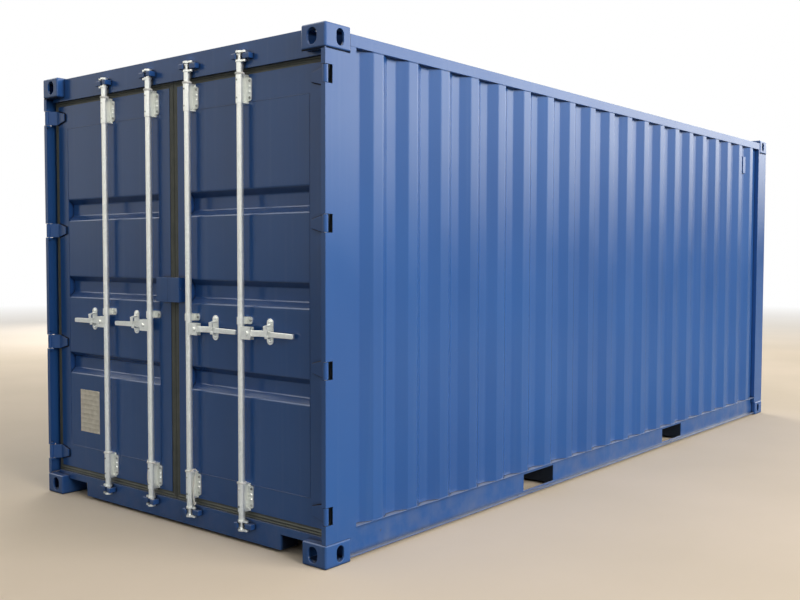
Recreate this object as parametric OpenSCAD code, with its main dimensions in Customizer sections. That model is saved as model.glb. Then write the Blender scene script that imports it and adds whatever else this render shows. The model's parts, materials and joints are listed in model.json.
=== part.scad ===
// Twenty foot general purpose shipping container with double doors at one end.
// Length along X with the doors at -X, width along Y, and the floor of the yard at z = 0.

/* [Body] */
// Length over the corner castings
length = 6058; // [5700:1:6400]
// Width over the corner castings
width = 2438; // [2200:1:2600]
// Height over the corner castings
height = 2591; // [2400:1:2900]

/* [Corner castings] */
// Length of a casting, along the container
cast_l = 178; // [170:1:190]
// Width of a casting, across the container
cast_w = 162; // [150:1:170]
// Height of a casting
cast_h = 118; // [110:1:130]
// Wall of a casting at its top or bottom aperture
cast_face_t = 28; // [20:1:32]
// Side walls of a casting
cast_wall_t = 14; // [10:1:18]
// Radius of a casting's outer upright corner
cast_r = 13; // [4:1:14]
// Distance of a lifting aperture's centre from the container's end
aperture_edge_x = 102.5; // [100:0.5:105]
// Distance of a lifting aperture's centre from the container's side
aperture_edge_y = 89.5; // [87:0.5:92]
// Length of a top or bottom aperture
aperture_l = 124; // [110:1:130]
// Width of a top or bottom aperture
aperture_w = 63.5; // [55:0.5:66]
// Height of the side and end apertures
side_hole_h = 79.5; // [70:0.5:84]
// Width of the side aperture
side_hole_w = 51; // [40:1:56]
// Width of the end aperture
end_hole_w = 63.5; // [50:0.5:66]
// How far the frame stays inside the castings, top and bottom
frame_inset = 8; // [5:1:17]

/* [Corner posts] */
// Plate of the posts
post_t = 6; // [4:0.5:8]
// Length of a rear post's side plate
rear_post_l = 220; // [200:1:260]
// Return of a rear post towards the doors
rear_return = 32; // [24:1:40]
// Depth of the inner channel of a rear post, along the container
post_channel_l = 113; // [90:1:130]
// Thickness of the inner channel
post_channel_t = 12; // [8:1:14]
// Length of a front post's side plate
front_post_l = 200; // [180:1:240]

/* [Rails] */
// Height of the top side and end rails
top_rail_h = 60; // [50:1:80]
// Width of the top side and end rails
top_rail_w = 60; // [50:1:80]
// How far the top side rails lie under the castings' upper faces
top_rail_drop = 29; // [20:1:58]
// Wall of the tubes in the header, the top rails and the doors
tube_t = 3.2; // [2.5:0.1:4]
// How far the rails and walls stay inside the castings
side_inset = 4; // [2:1:8]
// Height of the bottom side rails
bottom_rail_h = 150; // [140:1:170]
// How far the web of the bottom side rails lies back from the top flange's edge
web_recess = 34; // [25:1:40]
// Upper flange of the bottom side rails
upper_flange = 52; // [45:1:60]
// Lower flange of the bottom side rails
lower_flange = 30; // [20:1:40]
// Plate of the bottom side rails
rail_t = 4.5; // [3:0.5:6]
// Underside of the bottom rails, sill and cross members above the ground
rail_z = 17; // [10:1:25]

/* [Walls and roof] */
// Sheet of the walls and the roof
sheet_t = 2; // [1.6:0.1:3]
// Depth of the side corrugations
side_depth = 36; // [30:1:42]
// Pitch of the side corrugations
side_pitch = 278; // [260:1:300]
// Outer flat of a side corrugation
side_outer = 72; // [60:1:80]
// Inner flat of a side corrugation
side_inner = 70; // [60:1:80]
// Depth of the front wall corrugations
front_depth = 45; // [36:1:50]
// Pitch of the front wall corrugations
front_pitch = 240; // [200:1:245]
// Flat of a front wall corrugation
front_flat = 107; // [95:1:115]
// Depth of the roof troughs
roof_depth = 20; // [15:1:25]
// Pitch of the roof troughs
roof_pitch = 209; // [200:1:230]
// Flat of a roof trough
roof_flat = 68; // [60:1:80]
// Flat of the roof behind each end and beside each trough
roof_end = 290; // [250:1:340]
// Plate over the roof at each end
roof_plate_t = 4; // [3:0.5:6]

/* [Base] */
// Thickness of the floor boards
floor_t = 28; // [21:1:30]
// Height of a cross member
cross_h = 122; // [110:1:130]
// Flange of a cross member
cross_flange = 45; // [40:1:50]
// Plate of a cross member
cross_t = 4; // [3:0.5:5]
// Cross members between the sill and a pocket, and between the pockets
cross_count = 5; // [3:1:7]
// Width of a fork pocket
pocket_w = 360; // [340:1:380]
// Strip of the bottom rail left under a fork pocket
pocket_strip = 18; // [6:1:20]
// Distance between the pockets
pocket_pitch = 2050; // [1900:1:2150]

/* [Door end frame] */
// How far the header and the sill stand behind the castings
frame_recess = 49; // [46:1:52]
// Height of the header
header_h = 132; // [110:1:160]
// Height of the sill's front face
sill_h = 119; // [100:1:125]
// Depth of the header and the sill
sill_depth = 120; // [100:1:140]
// Width of the sling cut-outs in the sill
sling_w = 200; // [160:1:220]
// Height of the sling cut-outs above the sill's underside
sling_h = 80; // [60:1:90]

/* [Doors] */
// How far the doors' outer faces stand behind the castings
door_recess = 66; // [60:1:72]
// Thickness of a door
door_t = 50; // [40:1:60]
// Half of the gap between the two doors, which the seals fill
door_gap = 35; // [25:1:45]
// Gap above and below a door, which the seals fill
door_gap_z = 30; // [22:1:36]
// Gap between a door and its opening's side
door_gap_y = 20; // [15:1:25]
// Width of the doors' upright members
stile_w = 100; // [80:1:110]
// Height of the doors' level members
member_h = 140; // [120:1:150]
// Distance between the door panel's bands
band_pitch = 473; // [400:1:500]
// Number of bands on a door panel
bands = 3; // [2:1:4]
// Depth of the bands
band_depth = 36; // [28:1:40]
// Inner flat of a band
band_flat = 68; // [60:1:80]
// Slope of a band
band_slope = 32; // [26:1:68]
// Thickness of the door seals
seal_t = 22; // [14:1:26]
// How far the seals lie behind the doors' outer faces
seal_recess = 12; // [8:1:16]
// Clearance between moving pieces
clear = 5; // [5:0.5:6]

/* [Hinges] */
// Distance of the hinge pins from the outer faces of the castings
pin_inset = 18; // [17:0.5:20]
// Diameter of the hinge pins
pin_d = 12; // [10:1:16]
// Outer diameter of a hinge barrel
barrel_d = 28; // [24:1:32]
// Height of the notch for a hinge
notch_h = 88; // [70:1:110]
// Length of the notch in the post's side
notch_l = 53; // [48:1:60]
// Thickness of the hinge blades
blade_t = 12; // [8:1:14]
// Reach of a hinge blade beyond its pin
blade_l = 130; // [110:1:160]
// Height of a hinge blade at its inner end
blade_tip_h = 42; // [30:1:60]
// Height of the lowest hinge
first_hinge_z = 255; // [240:1:300]
// Height of the upper hinge's centre below the castings' upper faces
last_hinge_drop = 239; // [225:1:280]
// Number of hinges on a door
hinges = 4; // [3:1:4]

/* [Locking gear] */
// Outer diameter of the locking rods
rod_d = 34; // [30:1:36]
// How far the rods' axes stand behind the castings
rod_recess = 25; // [24:0.5:26]
// Distance of the outer rods from the middle of the container
outer_rod_y = 595; // [560:1:640]
// Distance of the inner rods from the middle of the container
inner_rod_y = 172; // [160:1:200]
// Height of a cam, over its two jaws
cam_h = 56; // [50:1:66]
// Thickness of a cam's jaws
cam_t = 10; // [8:1:12]
// Reach of a cam's jaws
cam_reach = 45; // [38:1:50]
// Height of the bearing sleeves
sleeve_h = 145; // [110:1:160]
// Outer diameter of the bearing sleeves
sleeve_d = 46; // [44:1:48]
// Width of the foot plates under the sleeves
foot_w = 92; // [80:1:104]
// Height of the foot plates
foot_h = 118; // [100:1:130]
// Plate of the feet, cradles and catches
foot_t = 6; // [4:0.5:8]
// Height of the rods' guides
guide_h = 38; // [30:1:50]
// Centre of the guides above the ground
guide_z = 1166; // [1150:1:1200]
// Centre of the handles above the ground
handle_z = 1104; // [1080:1:1110]
// Distance of a handle's pivot from its rod
handle_pivot = 55; // [50:1:66]
// Reach of a handle from its rod
handle_l = 362; // [330:1:365]
// Height of a handle bar
handle_h = 32; // [26:1:36]
// Height of a handle's grip at its end
grip_h = 25; // [20:1:28]
// Thickness of a handle bar
handle_t = 13; // [10:1:14]
// Height of the hub that holds a handle
hub_h = 64; // [56:1:72]
// Thickness of a hub's cheek
cheek_t = 7; // [5:0.5:8]
// Diameter of a handle's bolt
bolt_d = 12; // [10:1:14]
// Distance of a handle's cradle from the rod
cradle_y = 178; // [160:1:200]
// Width of a cradle
cradle_w = 46; // [38:1:54]
// Height of a cradle
cradle_h = 134; // [124:1:150]
// Height of a catch's pivot above the handle
catch_z = 59; // [56:1:60]
// Gap between a handle's grip and its cradle's plate
grip_gap = 7.5; // [6:0.5:12]
// Running clearance at pins and rods
fit = 0.4; // [0.3:0.05:0.5]

/* [Lock box and plate] */
// Length of the lock box over both doors
box_l = 250; // [200:1:270]
// Height of the lock box
box_h = 136; // [110:1:150]
// Centre of the lock box above the ground
box_z = 1310; // [1290:1:1330]
// Depth of the lock box
box_d = 50; // [40:1:56]
// Plate of the lock box
box_t = 4; // [3:0.5:6]
// Height of the data plate
plate_h = 260; // [200:1:270]
// Width of the data plate
plate_w = 200; // [160:1:210]
// Distance of the data plate's centre from the middle of the container
plate_y = 840; // [760:1:900]
// Centre of the data plate above the ground
plate_z = 540; // [500:1:600]

/* [Ventilators] */
// Width of a ventilator
vent_w = 64; // [50:1:66]
// Height of a ventilator
vent_h = 150; // [120:1:180]
// Depth of a ventilator
vent_d = 20; // [15:1:24]
// Centre of a ventilator below the castings' upper faces
vent_drop = 256; // [230:1:340]

/* [Hidden] */
$fn = 48;

paint = "#31558f";
steel = "#c9cdc6";
rubber = "#26282a";

rear_x = -length / 2;
front_x = length / 2;
side_y = width / 2;
roof_z = height - frame_inset;
rail_roof = height - top_rail_drop;
wall_top = rail_roof - top_rail_h;
post_z0 = cast_h;
post_h = height - 2 * cast_h;
eps = 0.02;

// Side walls and rails, outer faces
rail_y = side_y - side_inset;
wall_y = rail_y - 2;
valley_y = wall_y - side_depth;
web_y = rail_y - web_recess;
flange_y = rail_y - upper_flange;
rail_top = rail_z + bottom_rail_h;
side_slope = (side_pitch - side_outer - side_inner) / 2;
wall_x0 = rear_x + rear_post_l;
wall_x1 = front_x - front_post_l;
side_crests = 1 + floor((wall_x1 - wall_x0 - side_outer - 2 * side_slope) / side_pitch);
first_crest_x = -(side_crests - 1) / 2 * side_pitch;

// Door end frame
sill_x = rear_x + frame_recess;
sill_top = rail_z + sill_h;
header_z = roof_z - header_h;
door_face = rear_x + door_recess;
door_back = door_face + door_t;
seal_face = door_face + seal_recess;
seal_back = seal_face + seal_t;
stop_x = seal_back + clear;
opening_y = side_y - post_t - 43;
door_y0 = door_gap;
door_y1 = opening_y - door_gap_y;
door_z0 = sill_top + clear + door_gap_z;
door_z1 = header_z - door_gap_z;
threshold_z = door_z0 - clear;
panel_y0 = door_y0 + stile_w;
panel_y1 = door_y1 - stile_w;
panel_z0 = door_z0 + member_h;
panel_z1 = door_z1 - member_h;
band_mid = (door_z0 + door_z1) / 2 + 8;

// Hinges
pin_x = rear_x + pin_inset;
pin_y = side_y - pin_inset;
lug_h = 12;

// Locking gear
rod_x = rear_x + rod_recess;
rod_ys = [outer_rod_y, inner_rod_y, -inner_rod_y, -outer_rod_y];
cam_top = roof_z - 48;
cam_bottom = rail_z + 58;
sleeve_top_z = header_z - 34 - sleeve_h / 2;
sleeve_low_z = door_z0 + sleeve_h / 2 + 4;
shank_d = 18;
ear_d = 12;
collar_d = 2 * (frame_recess - rod_recess - 3);
jaw_gap = 4;
arm_y = rod_d / 2 + 10;
keeper_w = 50;
plate_x = door_face - foot_t;
grip_back = plate_x - grip_gap;
grip_front = grip_back - handle_t;
catch_pin_d = 9;
catch_t = 5;
catch_r = 14;
lip_h = 8;

// Ropes
rope_d = 7;
rope_sides = 8;

// Outline shared by both sides: mirrored for the left one
module on_side(side) {
    if (side == "right") mirror([0, 1, 0]) children();
    else children();
}

// Upright slot, square to the face it is cut in, centred at the origin, along Z
module slot_cut(w, h, depth) {
    for (s = [-1, 1])
        translate([0, 0, s * (h - w) / 2]) rotate([90, 0, 0]) cylinder(d = w, h = depth, center = true);
    cube([w, depth, h - w], center = true);
}

// One casting with its outer corner at the origin and its lifting aperture at z = 0
module casting() {
    ax = aperture_edge_x;
    ay = aperture_edge_y;
    mid = cast_h / 2;
    difference() {
        linear_extrude(cast_h) {
            difference() {
                square([cast_l, cast_w]);
                translate([-1, -1]) square([cast_r + 1, cast_r + 1]);
            }
            translate([cast_r, cast_r]) circle(cast_r);
        }
        translate([cast_wall_t, cast_wall_t, cast_face_t])
            cube([cast_l - 2 * cast_wall_t, cast_w - 2 * cast_wall_t, cast_h - cast_face_t - cast_wall_t]);
        translate([ax, ay, 0]) rotate([90, 90, 90])
            rotate([0, 90, 0]) mirror([0, 0, 1]) lifting_slot();
        translate([ax, 0, mid]) slot_cut(side_hole_w, side_hole_h, 3 * cast_wall_t);
        translate([0, ay, mid]) rotate([0, 0, 90]) slot_cut(end_hole_w, side_hole_h, 3 * cast_wall_t);
    }
}

// Round-ended slot along X through the casting's face
module lifting_slot() {
    reach = (aperture_l - aperture_w) / 2;
    for (s = [-1, 1])
        translate([s * reach, 0, -1]) cylinder(d = aperture_w, h = cast_face_t + 2);
    translate([-reach, -aperture_w / 2, -1]) cube([2 * reach, aperture_w, cast_face_t + 2]);
}

module four_corners() {
    for (mx = [0, 1], my = [0, 1])
        mirror([mx, 0, 0]) mirror([0, my, 0]) translate([rear_x, -side_y, 0]) children();
}

module bottom_corner_castings() {
    color(paint) four_corners() casting();
}

module top_corner_castings() {
    color(paint) translate([0, 0, height]) mirror([0, 0, 1]) four_corners() casting();
}

// Outer plate with its return, and the inner channel
module rear_post_outline() {
    translate([rear_x, side_y - post_t]) square([rear_post_l, post_t]);
    translate([rear_x, side_y - rear_return]) square([post_t, rear_return]);
    translate([wall_x0 - post_channel_l, opening_y]) square([post_channel_l, post_channel_t]);
    for (x = [wall_x0 - post_channel_l, wall_x0 - post_channel_t])
        translate([x, opening_y]) square([post_channel_t, side_y - opening_y]);
}

// Rear post with its hinge notches and lugs; its inner part goes on up to the top rail
module rear_post(side) {
    color(paint) on_side(side) difference() {
        union() {
            translate([0, 0, post_z0]) linear_extrude(post_h) rear_post_outline();
            translate([0, 0, post_z0 + post_h]) linear_extrude(wall_top - post_z0 - post_h) intersection() {
                rear_post_outline();
                translate([rear_x + cast_l, 0]) square([rear_post_l, side_y - side_inset]);
            }
            for (i = [0 : hinges - 1], s = [-1, 1])
                translate([rear_x + 1, side_y - rear_return, hinge_z(i) + s * (notch_h + lug_h) / 2 - lug_h / 2])
                    cube([pin_inset + barrel_d / 2, rear_return - 1, lug_h]);
        }
        for (i = [0 : hinges - 1]) {
            translate([rear_x - 1, side_y - rear_return - 1, hinge_z(i) - notch_h / 2])
                cube([notch_l + 1, rear_return + 2, notch_h]);
            translate([pin_x, pin_y, hinge_z(i) - notch_h])
                cylinder(d = pin_d, h = 2 * notch_h);
        }
    }
}

function hinge_z(i) = first_hinge_z + i * (height - last_hinge_drop - first_hinge_z) / (hinges - 1);

module hinge_pins(side) {
    color(steel) on_side(side) for (i = [0 : hinges - 1])
        translate([pin_x, pin_y, hinge_z(i) - notch_h / 2 - lug_h]) cylinder(d = pin_d, h = notch_h + 2 * lug_h);
}

// Front post of the left side: side plate, end plate and the closing leg behind the end wall
module front_post_outline() {
    leg = 46;
    translate([wall_x1, side_y - post_t]) square([front_post_l, post_t]);
    translate([front_x - post_t, side_y - cast_w]) square([post_t, cast_w]);
    translate([wall_x1, side_y - leg]) square([post_t, leg]);
    translate([front_x - front_depth - 20, side_y - cast_w]) square([front_depth + 20, post_t]);
}

module front_post(side) {
    color(paint) on_side(side) translate([0, 0, post_z0]) {
        linear_extrude(post_h) front_post_outline();
        translate([0, 0, post_h]) linear_extrude(wall_top - post_z0 - post_h) intersection() {
            front_post_outline();
            translate([0, 0]) square([front_x - cast_l, side_y - side_inset]);
        }
    }
}

// Header: tube over the doors with the stop for their upper seal
module door_header() {
    w = width - 2 * cast_w;
    t = tube_t;
    color(paint) difference() {
        union() {
            translate([sill_x, -w / 2, header_z]) cube([sill_depth, w, header_h]);
            translate([sill_x + 10, -opening_y, header_z]) cube([sill_depth - 10, 2 * opening_y, height - cast_h - header_z]);
            translate([stop_x, -opening_y, header_z - door_gap_z / 2]) cube([post_t, 2 * opening_y, door_gap_z / 2 + 1]);
        }
        translate([sill_x + t, -w / 2 - 1, header_z + t]) cube([sill_depth - 2 * t, w + 2, header_h - 2 * t]);
    }
}

// Sill: hollow section with the threshold behind the seal and a sling cut-out at each end
module door_sill() {
    w = width - 2 * cast_w;
    t = rail_t;
    inner_w = w - 2 * sling_w - 2 * t;
    color(paint) difference() {
        union() {
            translate([sill_x, -w / 2, rail_z]) cube([sill_depth, w, sill_h]);
            translate([sill_x, -opening_y, cast_h]) cube([sill_depth, 2 * opening_y, sill_top - cast_h]);
            translate([stop_x, -opening_y, cast_h]) cube([sill_x + sill_depth - stop_x, 2 * opening_y, threshold_z - cast_h]);
        }
        for (s = [-1, 1])
            translate([sill_x - 1, s * (w / 2 - sling_w / 2) - sling_w / 2 - (s > 0 ? 0 : 1), rail_z - 1])
                cube([sill_depth + 2, sling_w + 1, sling_h + 1]);
        translate([sill_x + t, -inner_w / 2, rail_z + t]) cube([sill_depth - 2 * t, inner_w, sill_h - 2 * t]);
        translate([stop_x + t, -inner_w / 2, sill_top - 2 * t])
            cube([sill_x + sill_depth - stop_x - 2 * t, inner_w, threshold_z - sill_top + t]);
        for (y = [-inner_w / 3, 0, inner_w / 3]) translate([sill_x + sill_depth / 2, y, rail_z - 1]) cylinder(d = 16, h = t + 2);
    }
}

// Pair of keeper lugs at one rod: a hooked one round the cam's ear and a plain one
module keeper(z) {
    h = cam_h - 2 * cam_t - 2 * jaw_gap;
    lip_x = rod_x - shank_d / 2 - 2;
    translate([0, 0, z - h / 2]) {
        translate([rear_x + 3, arm_y, 0]) cube([sill_x - rear_x - 3, 15, h]);
        translate([rear_x + 3, shank_d / 2 + 1, 0]) cube([lip_x - rear_x - 3, arm_y, h]);
        translate([rod_x - 8, -arm_y - keeper_w, 0]) cube([sill_x - rod_x + 8, keeper_w, h]);
    }
}

// Places children at each rod, with +Y turned away from the door's hinge side
module at_rods() {
    for (y = rod_ys)
        translate([0, y, 0]) mirror([0, y > 0 ? 1 : 0, 0]) children();
}

module upper_cam_keepers() {
    color(paint) at_rods() keeper(cam_top - cam_h / 2);
}

module lower_cam_keepers() {
    color(paint) at_rods() keeper(cam_bottom + cam_h / 2);
}

// Top rail: square tube between the castings
module top_rail(side) {
    t = tube_t;
    l = length - 2 * cast_l;
    color(paint) on_side(side) translate([rear_x + cast_l, rail_y - top_rail_w, wall_top]) difference() {
        cube([l, top_rail_w, top_rail_h]);
        translate([-1, t, t]) cube([l + 2, top_rail_w - 2 * t, top_rail_h - 2 * t]);
    }
}

// Bottom rail: channel with its flanges outwards and the mouths of the fork pockets
module bottom_rail(side) {
    color(paint) on_side(side) difference() {
        translate([rear_x + cast_l, 0, rail_z]) union() {
            l = length - 2 * cast_l;
            translate([0, web_y - rail_t, 0]) cube([l, rail_t, bottom_rail_h]);
            translate([0, flange_y, bottom_rail_h - rail_t]) cube([l, upper_flange, rail_t]);
            translate([0, web_y - rail_t, 0]) cube([l, lower_flange + rail_t, rail_t]);
        }
        translate([rear_x, flange_y - 1, cast_h]) cube([rear_post_l, side_y, height]);
        translate([wall_x1, flange_y - 1, cast_h]) cube([front_post_l, side_y, height]);
        for (s = [-1, 1])
            translate([s * pocket_pitch / 2 - pocket_w / 2, web_y - rail_t - 1, rail_z + pocket_strip])
                cube([pocket_w, rail_t + 2, cross_h - 3 - pocket_strip]);
    }
}

module front_top_rail() {
    w = width - 2 * cast_w;
    t = tube_t;
    color(paint) translate([front_x - frame_inset - top_rail_w, -w / 2, wall_top]) difference() {
        cube([top_rail_w, w, top_rail_h]);
        translate([t, -1, t]) cube([top_rail_w - 2 * t, w + 2, top_rail_h - 2 * t]);
    }
}

module front_bottom_rail() {
    w = width - 2 * cast_w;
    color(paint) difference() {
        translate([front_x - frame_inset - 60, -w / 2, rail_z]) cube([60, w, bottom_rail_h]);
        translate([front_x - frame_inset - 56, -w / 2 - 1, rail_z + rail_t])
            cube([60, w + 2, bottom_rail_h - 2 * rail_t]);
    }
}

// Points of a corrugated sheet along one axis: outer line forwards, inner line back
function sheet(line, t) = concat(line, [for (i = [len(line) - 1 : -1 : 0]) [line[i][0], line[i][1] - t]]);

function side_line() = concat(
    [[wall_x0, valley_y]],
    [for (k = [0 : side_crests - 1]) each [
        [first_crest_x + k * side_pitch - side_outer / 2 - side_slope, valley_y],
        [first_crest_x + k * side_pitch - side_outer / 2, wall_y],
        [first_crest_x + k * side_pitch + side_outer / 2, wall_y],
        [first_crest_x + k * side_pitch + side_outer / 2 + side_slope, valley_y]
    ]],
    [[wall_x1, valley_y]]
);

module side_wall(side) {
    color(paint) on_side(side) translate([0, 0, rail_top])
        linear_extrude(wall_top - rail_top) polygon(sheet(side_line(), sheet_t));
}

// Front wall: even corrugations between the front posts, drawn with Y as the run
function front_line(n, w) = concat(
    [[-w, -front_depth]],
    [for (k = [-n : n]) each [
        [k * front_pitch - front_flat / 2 - 18, -front_depth],
        [k * front_pitch - front_flat / 2, 0],
        [k * front_pitch + front_flat / 2, 0],
        [k * front_pitch + front_flat / 2 + 18, -front_depth]
    ]],
    [[w, -front_depth]]
);

module front_wall() {
    w = side_y - cast_w;
    n = floor((w - front_flat / 2 - 18) / front_pitch);
    color(paint) translate([front_x - frame_inset - 2, 0, rail_top]) rotate([0, 0, -90])
        linear_extrude(wall_top - rail_top) polygon(sheet(front_line(n, w), sheet_t));
}

// Roof: flat sheet with a row of pressed cross troughs between its edges
roof_ramp = (roof_pitch - 2 * roof_flat) / 2;
roof_n = floor((length - 2 * roof_end) / roof_pitch);
roof_x0 = -(roof_n * roof_pitch - roof_flat) / 2;

// Section of all the troughs, with the x axis along the roof and y upwards
module troughs(grow, top) {
    for (k = [0 : roof_n - 1]) translate([roof_x0 + k * roof_pitch, 0])
        polygon([
            [-grow, top], [roof_ramp - grow, -roof_depth - grow],
            [roof_ramp + roof_flat + grow, -roof_depth - grow], [2 * roof_ramp + roof_flat + grow, top]
        ]);
}

module roof_panel() {
    w = 2 * (rail_y - 15);
    trough_w = 2 * (rail_y - top_rail_w - 30);
    l = length - 2 * cast_l;
    color(paint) translate([0, 0, rail_roof]) difference() {
        union() {
            translate([-l / 2, -w / 2, 0]) cube([l, w, sheet_t]);
            rotate([90, 0, 0]) translate([0, 0, -trough_w / 2 - sheet_t])
                linear_extrude(trough_w + 2 * sheet_t) troughs(sheet_t, sheet_t / 2);
        }
        rotate([90, 0, 0]) translate([0, 0, -trough_w / 2]) linear_extrude(trough_w) troughs(0, sheet_t + 1);
    }
}

// Plates between the upper castings, over the ends of the roof
module roof_end_plates() {
    w = width - 2 * cast_w;
    t = roof_plate_t;
    color(paint) translate([0, 0, rail_roof + sheet_t]) {
        translate([sill_x + sill_depth, -w / 2, 0]) cube([roof_end - 60, w, t]);
        translate([front_x - roof_end, -w / 2, 0]) cube([roof_end - frame_inset, w, t]);
    }
}

module plywood_floor() {
    x0 = sill_x + sill_depth;
    x1 = bay_end;
    color("#8a6b45") translate([x0, -flange_y, rail_z + cross_h])
        cube([x1 - x0, 2 * flange_y, floor_t]);
}

// Places of the cross members' webs, with one at each side of each pocket
pocket_edge = pocket_pitch / 2 + pocket_w / 2;
bay_end = front_x - frame_inset - top_rail_w;
function spread(a, b, n) = [for (i = [1 : n]) a + (b - a) * i / (n + 1)];
cross_xs = concat(
    spread(pocket_edge, bay_end, cross_count),
    [for (x = spread(pocket_edge, bay_end, cross_count)) -x],
    spread(-pocket_edge + pocket_w, pocket_edge - pocket_w, cross_count)
);

// One cross member: channel with its flanges along +X
module cross_member() {
    w = 2 * (web_y - rail_t);
    translate([0, -w / 2, rail_z]) {
        cube([cross_t, w, cross_h]);
        cube([cross_flange, w, cross_t]);
        translate([0, 0, cross_h - cross_t]) cube([cross_flange, w, cross_t]);
    }
}

module cross_members() {
    color(paint) {
        for (x = cross_xs) translate([x, 0, 0]) cross_member();
        for (s = [-1, 1]) {
            translate([s * pocket_pitch / 2 + pocket_w / 2, 0, 0]) cross_member();
            translate([s * pocket_pitch / 2 - pocket_w / 2, 0, 0]) mirror([1, 0, 0]) cross_member();
        }
    }
}

// Roof plate of each pocket, under the floor
module fork_pocket_plates() {
    w = 2 * (web_y - rail_t);
    color(paint) for (s = [-1, 1])
        translate([s * pocket_pitch / 2 - pocket_w / 2, -w / 2, rail_z + cross_h - 3]) cube([pocket_w, w, 3]);
}

// Ventilator: hooded box in a valley with its mouth downwards
module ventilator() {
    difference() {
        translate([-vent_w / 2, 0, -vent_h / 2]) cube([vent_w, vent_d, vent_h]);
        translate([-vent_w / 2 + 3, -1, -vent_h / 2 - 1]) cube([vent_w - 6, vent_d - 2, vent_h - 2]);
    }
}

module side_ventilators() {
    x = first_crest_x + (side_crests - 2) * side_pitch + side_pitch / 2;
    color(paint) {
        translate([x, -valley_y, height - vent_drop]) mirror([0, 1, 0]) ventilator();
        translate([first_crest_x + side_pitch / 2, valley_y, height - vent_drop]) ventilator();
    }
}

// Block that fills the door's frame to its inner edges, less t all round
module door_block(t, depth) {
    translate([door_face + (door_t - depth) / 2, door_y0 + t, door_z0 + t])
        cube([depth, door_y1 - door_y0 - 2 * t, door_z1 - door_z0 - 2 * t]);
}

module panel_block(t, depth) {
    translate([door_face + (door_t - depth) / 2, panel_y0 - t, panel_z0 - t])
        cube([depth, panel_y1 - panel_y0 + 2 * t, panel_z1 - panel_z0 + 2 * t]);
}

// Door frame: tube all round, with drain holes in its lower edge
module door_frame(side) {
    color(paint) on_side(side) difference() {
        door_block(0, door_t);
        panel_block(0, door_t + 2);
        difference() {
            door_block(tube_t, door_t - 2 * tube_t);
            panel_block(tube_t, door_t);
        }
        for (y = [door_y0 + 150, door_y1 - 150])
            translate([door_face + door_t / 2, y, door_z0 - 1]) cylinder(d = 10, h = tube_t + 2);
    }
}

// Upright line of a door panel, as pairs of height and depth
function panel_line() = concat(
    [[panel_z0, 0]],
    [for (k = [0 : bands - 1]) each band_points(band_mid + (k - (bands - 1) / 2) * band_pitch)],
    [[panel_z1, 0]]
);

function band_points(z) = [
    [z - band_flat / 2 - band_slope, 0], [z - band_flat / 2, -band_depth],
    [z + band_flat / 2, -band_depth], [z + band_flat / 2 + band_slope, 0]
];

module door_panel(side) {
    color(paint) on_side(side) translate([door_face, panel_y0, 0]) rotate([90, 0, 0]) mirror([0, 0, 1])
        linear_extrude(panel_y1 - panel_y0)
            polygon([for (p = sheet(panel_line(), sheet_t)) [-p[1], p[0]]]);
}

// Seal: rubber band all round the door's edge
module door_seal(side) {
    y0 = clear - 1;
    y1 = door_y1 + door_gap_y + 8;
    z0 = sill_top + clear;
    z1 = header_z - clear;
    color(rubber) on_side(side) difference() {
        translate([seal_face, y0, z0]) cube([seal_t, y1 - y0, z1 - z0]);
        translate([seal_face - 1, door_y0, door_z0]) cube([seal_t + 2, door_y1 - door_y0, door_z1 - door_z0]);
    }
}

// Hinge blade: barrel at the pin, cranked plate that tapers on the door's face
module hinge_blade() {
    reach = door_face - pin_x;
    step = 50;
    h = notch_h - 4;
    difference() {
        intersection() {
            translate([0, 0, -h / 2]) linear_extrude(h) {
                circle(d = barrel_d);
                polygon([
                    [reach - blade_t, -blade_l], [reach, -blade_l], [reach, -step + 4],
                    [blade_t * 0.4, blade_t * 0.3], [-blade_t * 0.4, -blade_t * 0.3], [reach - blade_t, -step - 2]
                ]);
            }
            rotate([0, 90, 0]) translate([0, 0, -barrel_d]) linear_extrude(reach + 2 * barrel_d) polygon([
                [-h / 2, barrel_d], [-h / 2, -step], [-blade_tip_h / 2, -blade_l],
                [blade_tip_h / 2, -blade_l], [h / 2, -step], [h / 2, barrel_d]
            ]);
        }
        cylinder(d = pin_d + 2 * fit, h = 2 * notch_h, center = true);
    }
}

module hinge_blades(side) {
    color(paint) on_side(side) for (i = [0 : hinges - 1])
        translate([pin_x, pin_y, hinge_z(i)]) hinge_blade();
}

// Foot plate with rounded ends on the door's face, and the sleeve that holds the rod
module rod_bracket(z, h, foot) {
    bore = rod_d + 2 * fit;
    r = 14;
    translate([0, 0, z]) difference() {
        union() {
            translate([door_face - foot_t, 0, 0]) rotate([90, 0, 90]) linear_extrude(foot_t) {
                square([foot_w, foot - 2 * r], center = true);
                square([foot_w - 2 * r, foot], center = true);
                for (sy = [-1, 1], sz = [-1, 1])
                    translate([sy * (foot_w / 2 - r), sz * (foot / 2 - r)]) circle(r);
            }
            translate([rod_x, 0, -h / 2]) cylinder(d = sleeve_d, h = h);
            translate([rod_x, -sleeve_d / 2, -h / 2]) cube([door_face - rod_x, sleeve_d, h]);
        }
        translate([rod_x, 0, -h]) cylinder(d = bore, h = 2 * h);
    }
}

function door_rods(side) = side == "right" ? [-inner_rod_y, -outer_rod_y] : [inner_rod_y, outer_rod_y];

module rod_brackets(side) {
    color(steel) for (y = door_rods(side)) translate([0, y, 0]) {
        rod_bracket(sleeve_top_z, sleeve_h, foot_h);
        rod_bracket(sleeve_low_z, sleeve_h, foot_h);
        rod_bracket(guide_z, guide_h, guide_h);
    }
}

// Outline of a tongue from the axis along +Y, with its corners cut
function tongue(w, l) = [[-w / 2, 0], [w / 2, 0], [w / 2, l - w / 3], [w / 5, l], [-w / 5, l], [-w / 2, l - w / 3]];

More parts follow.
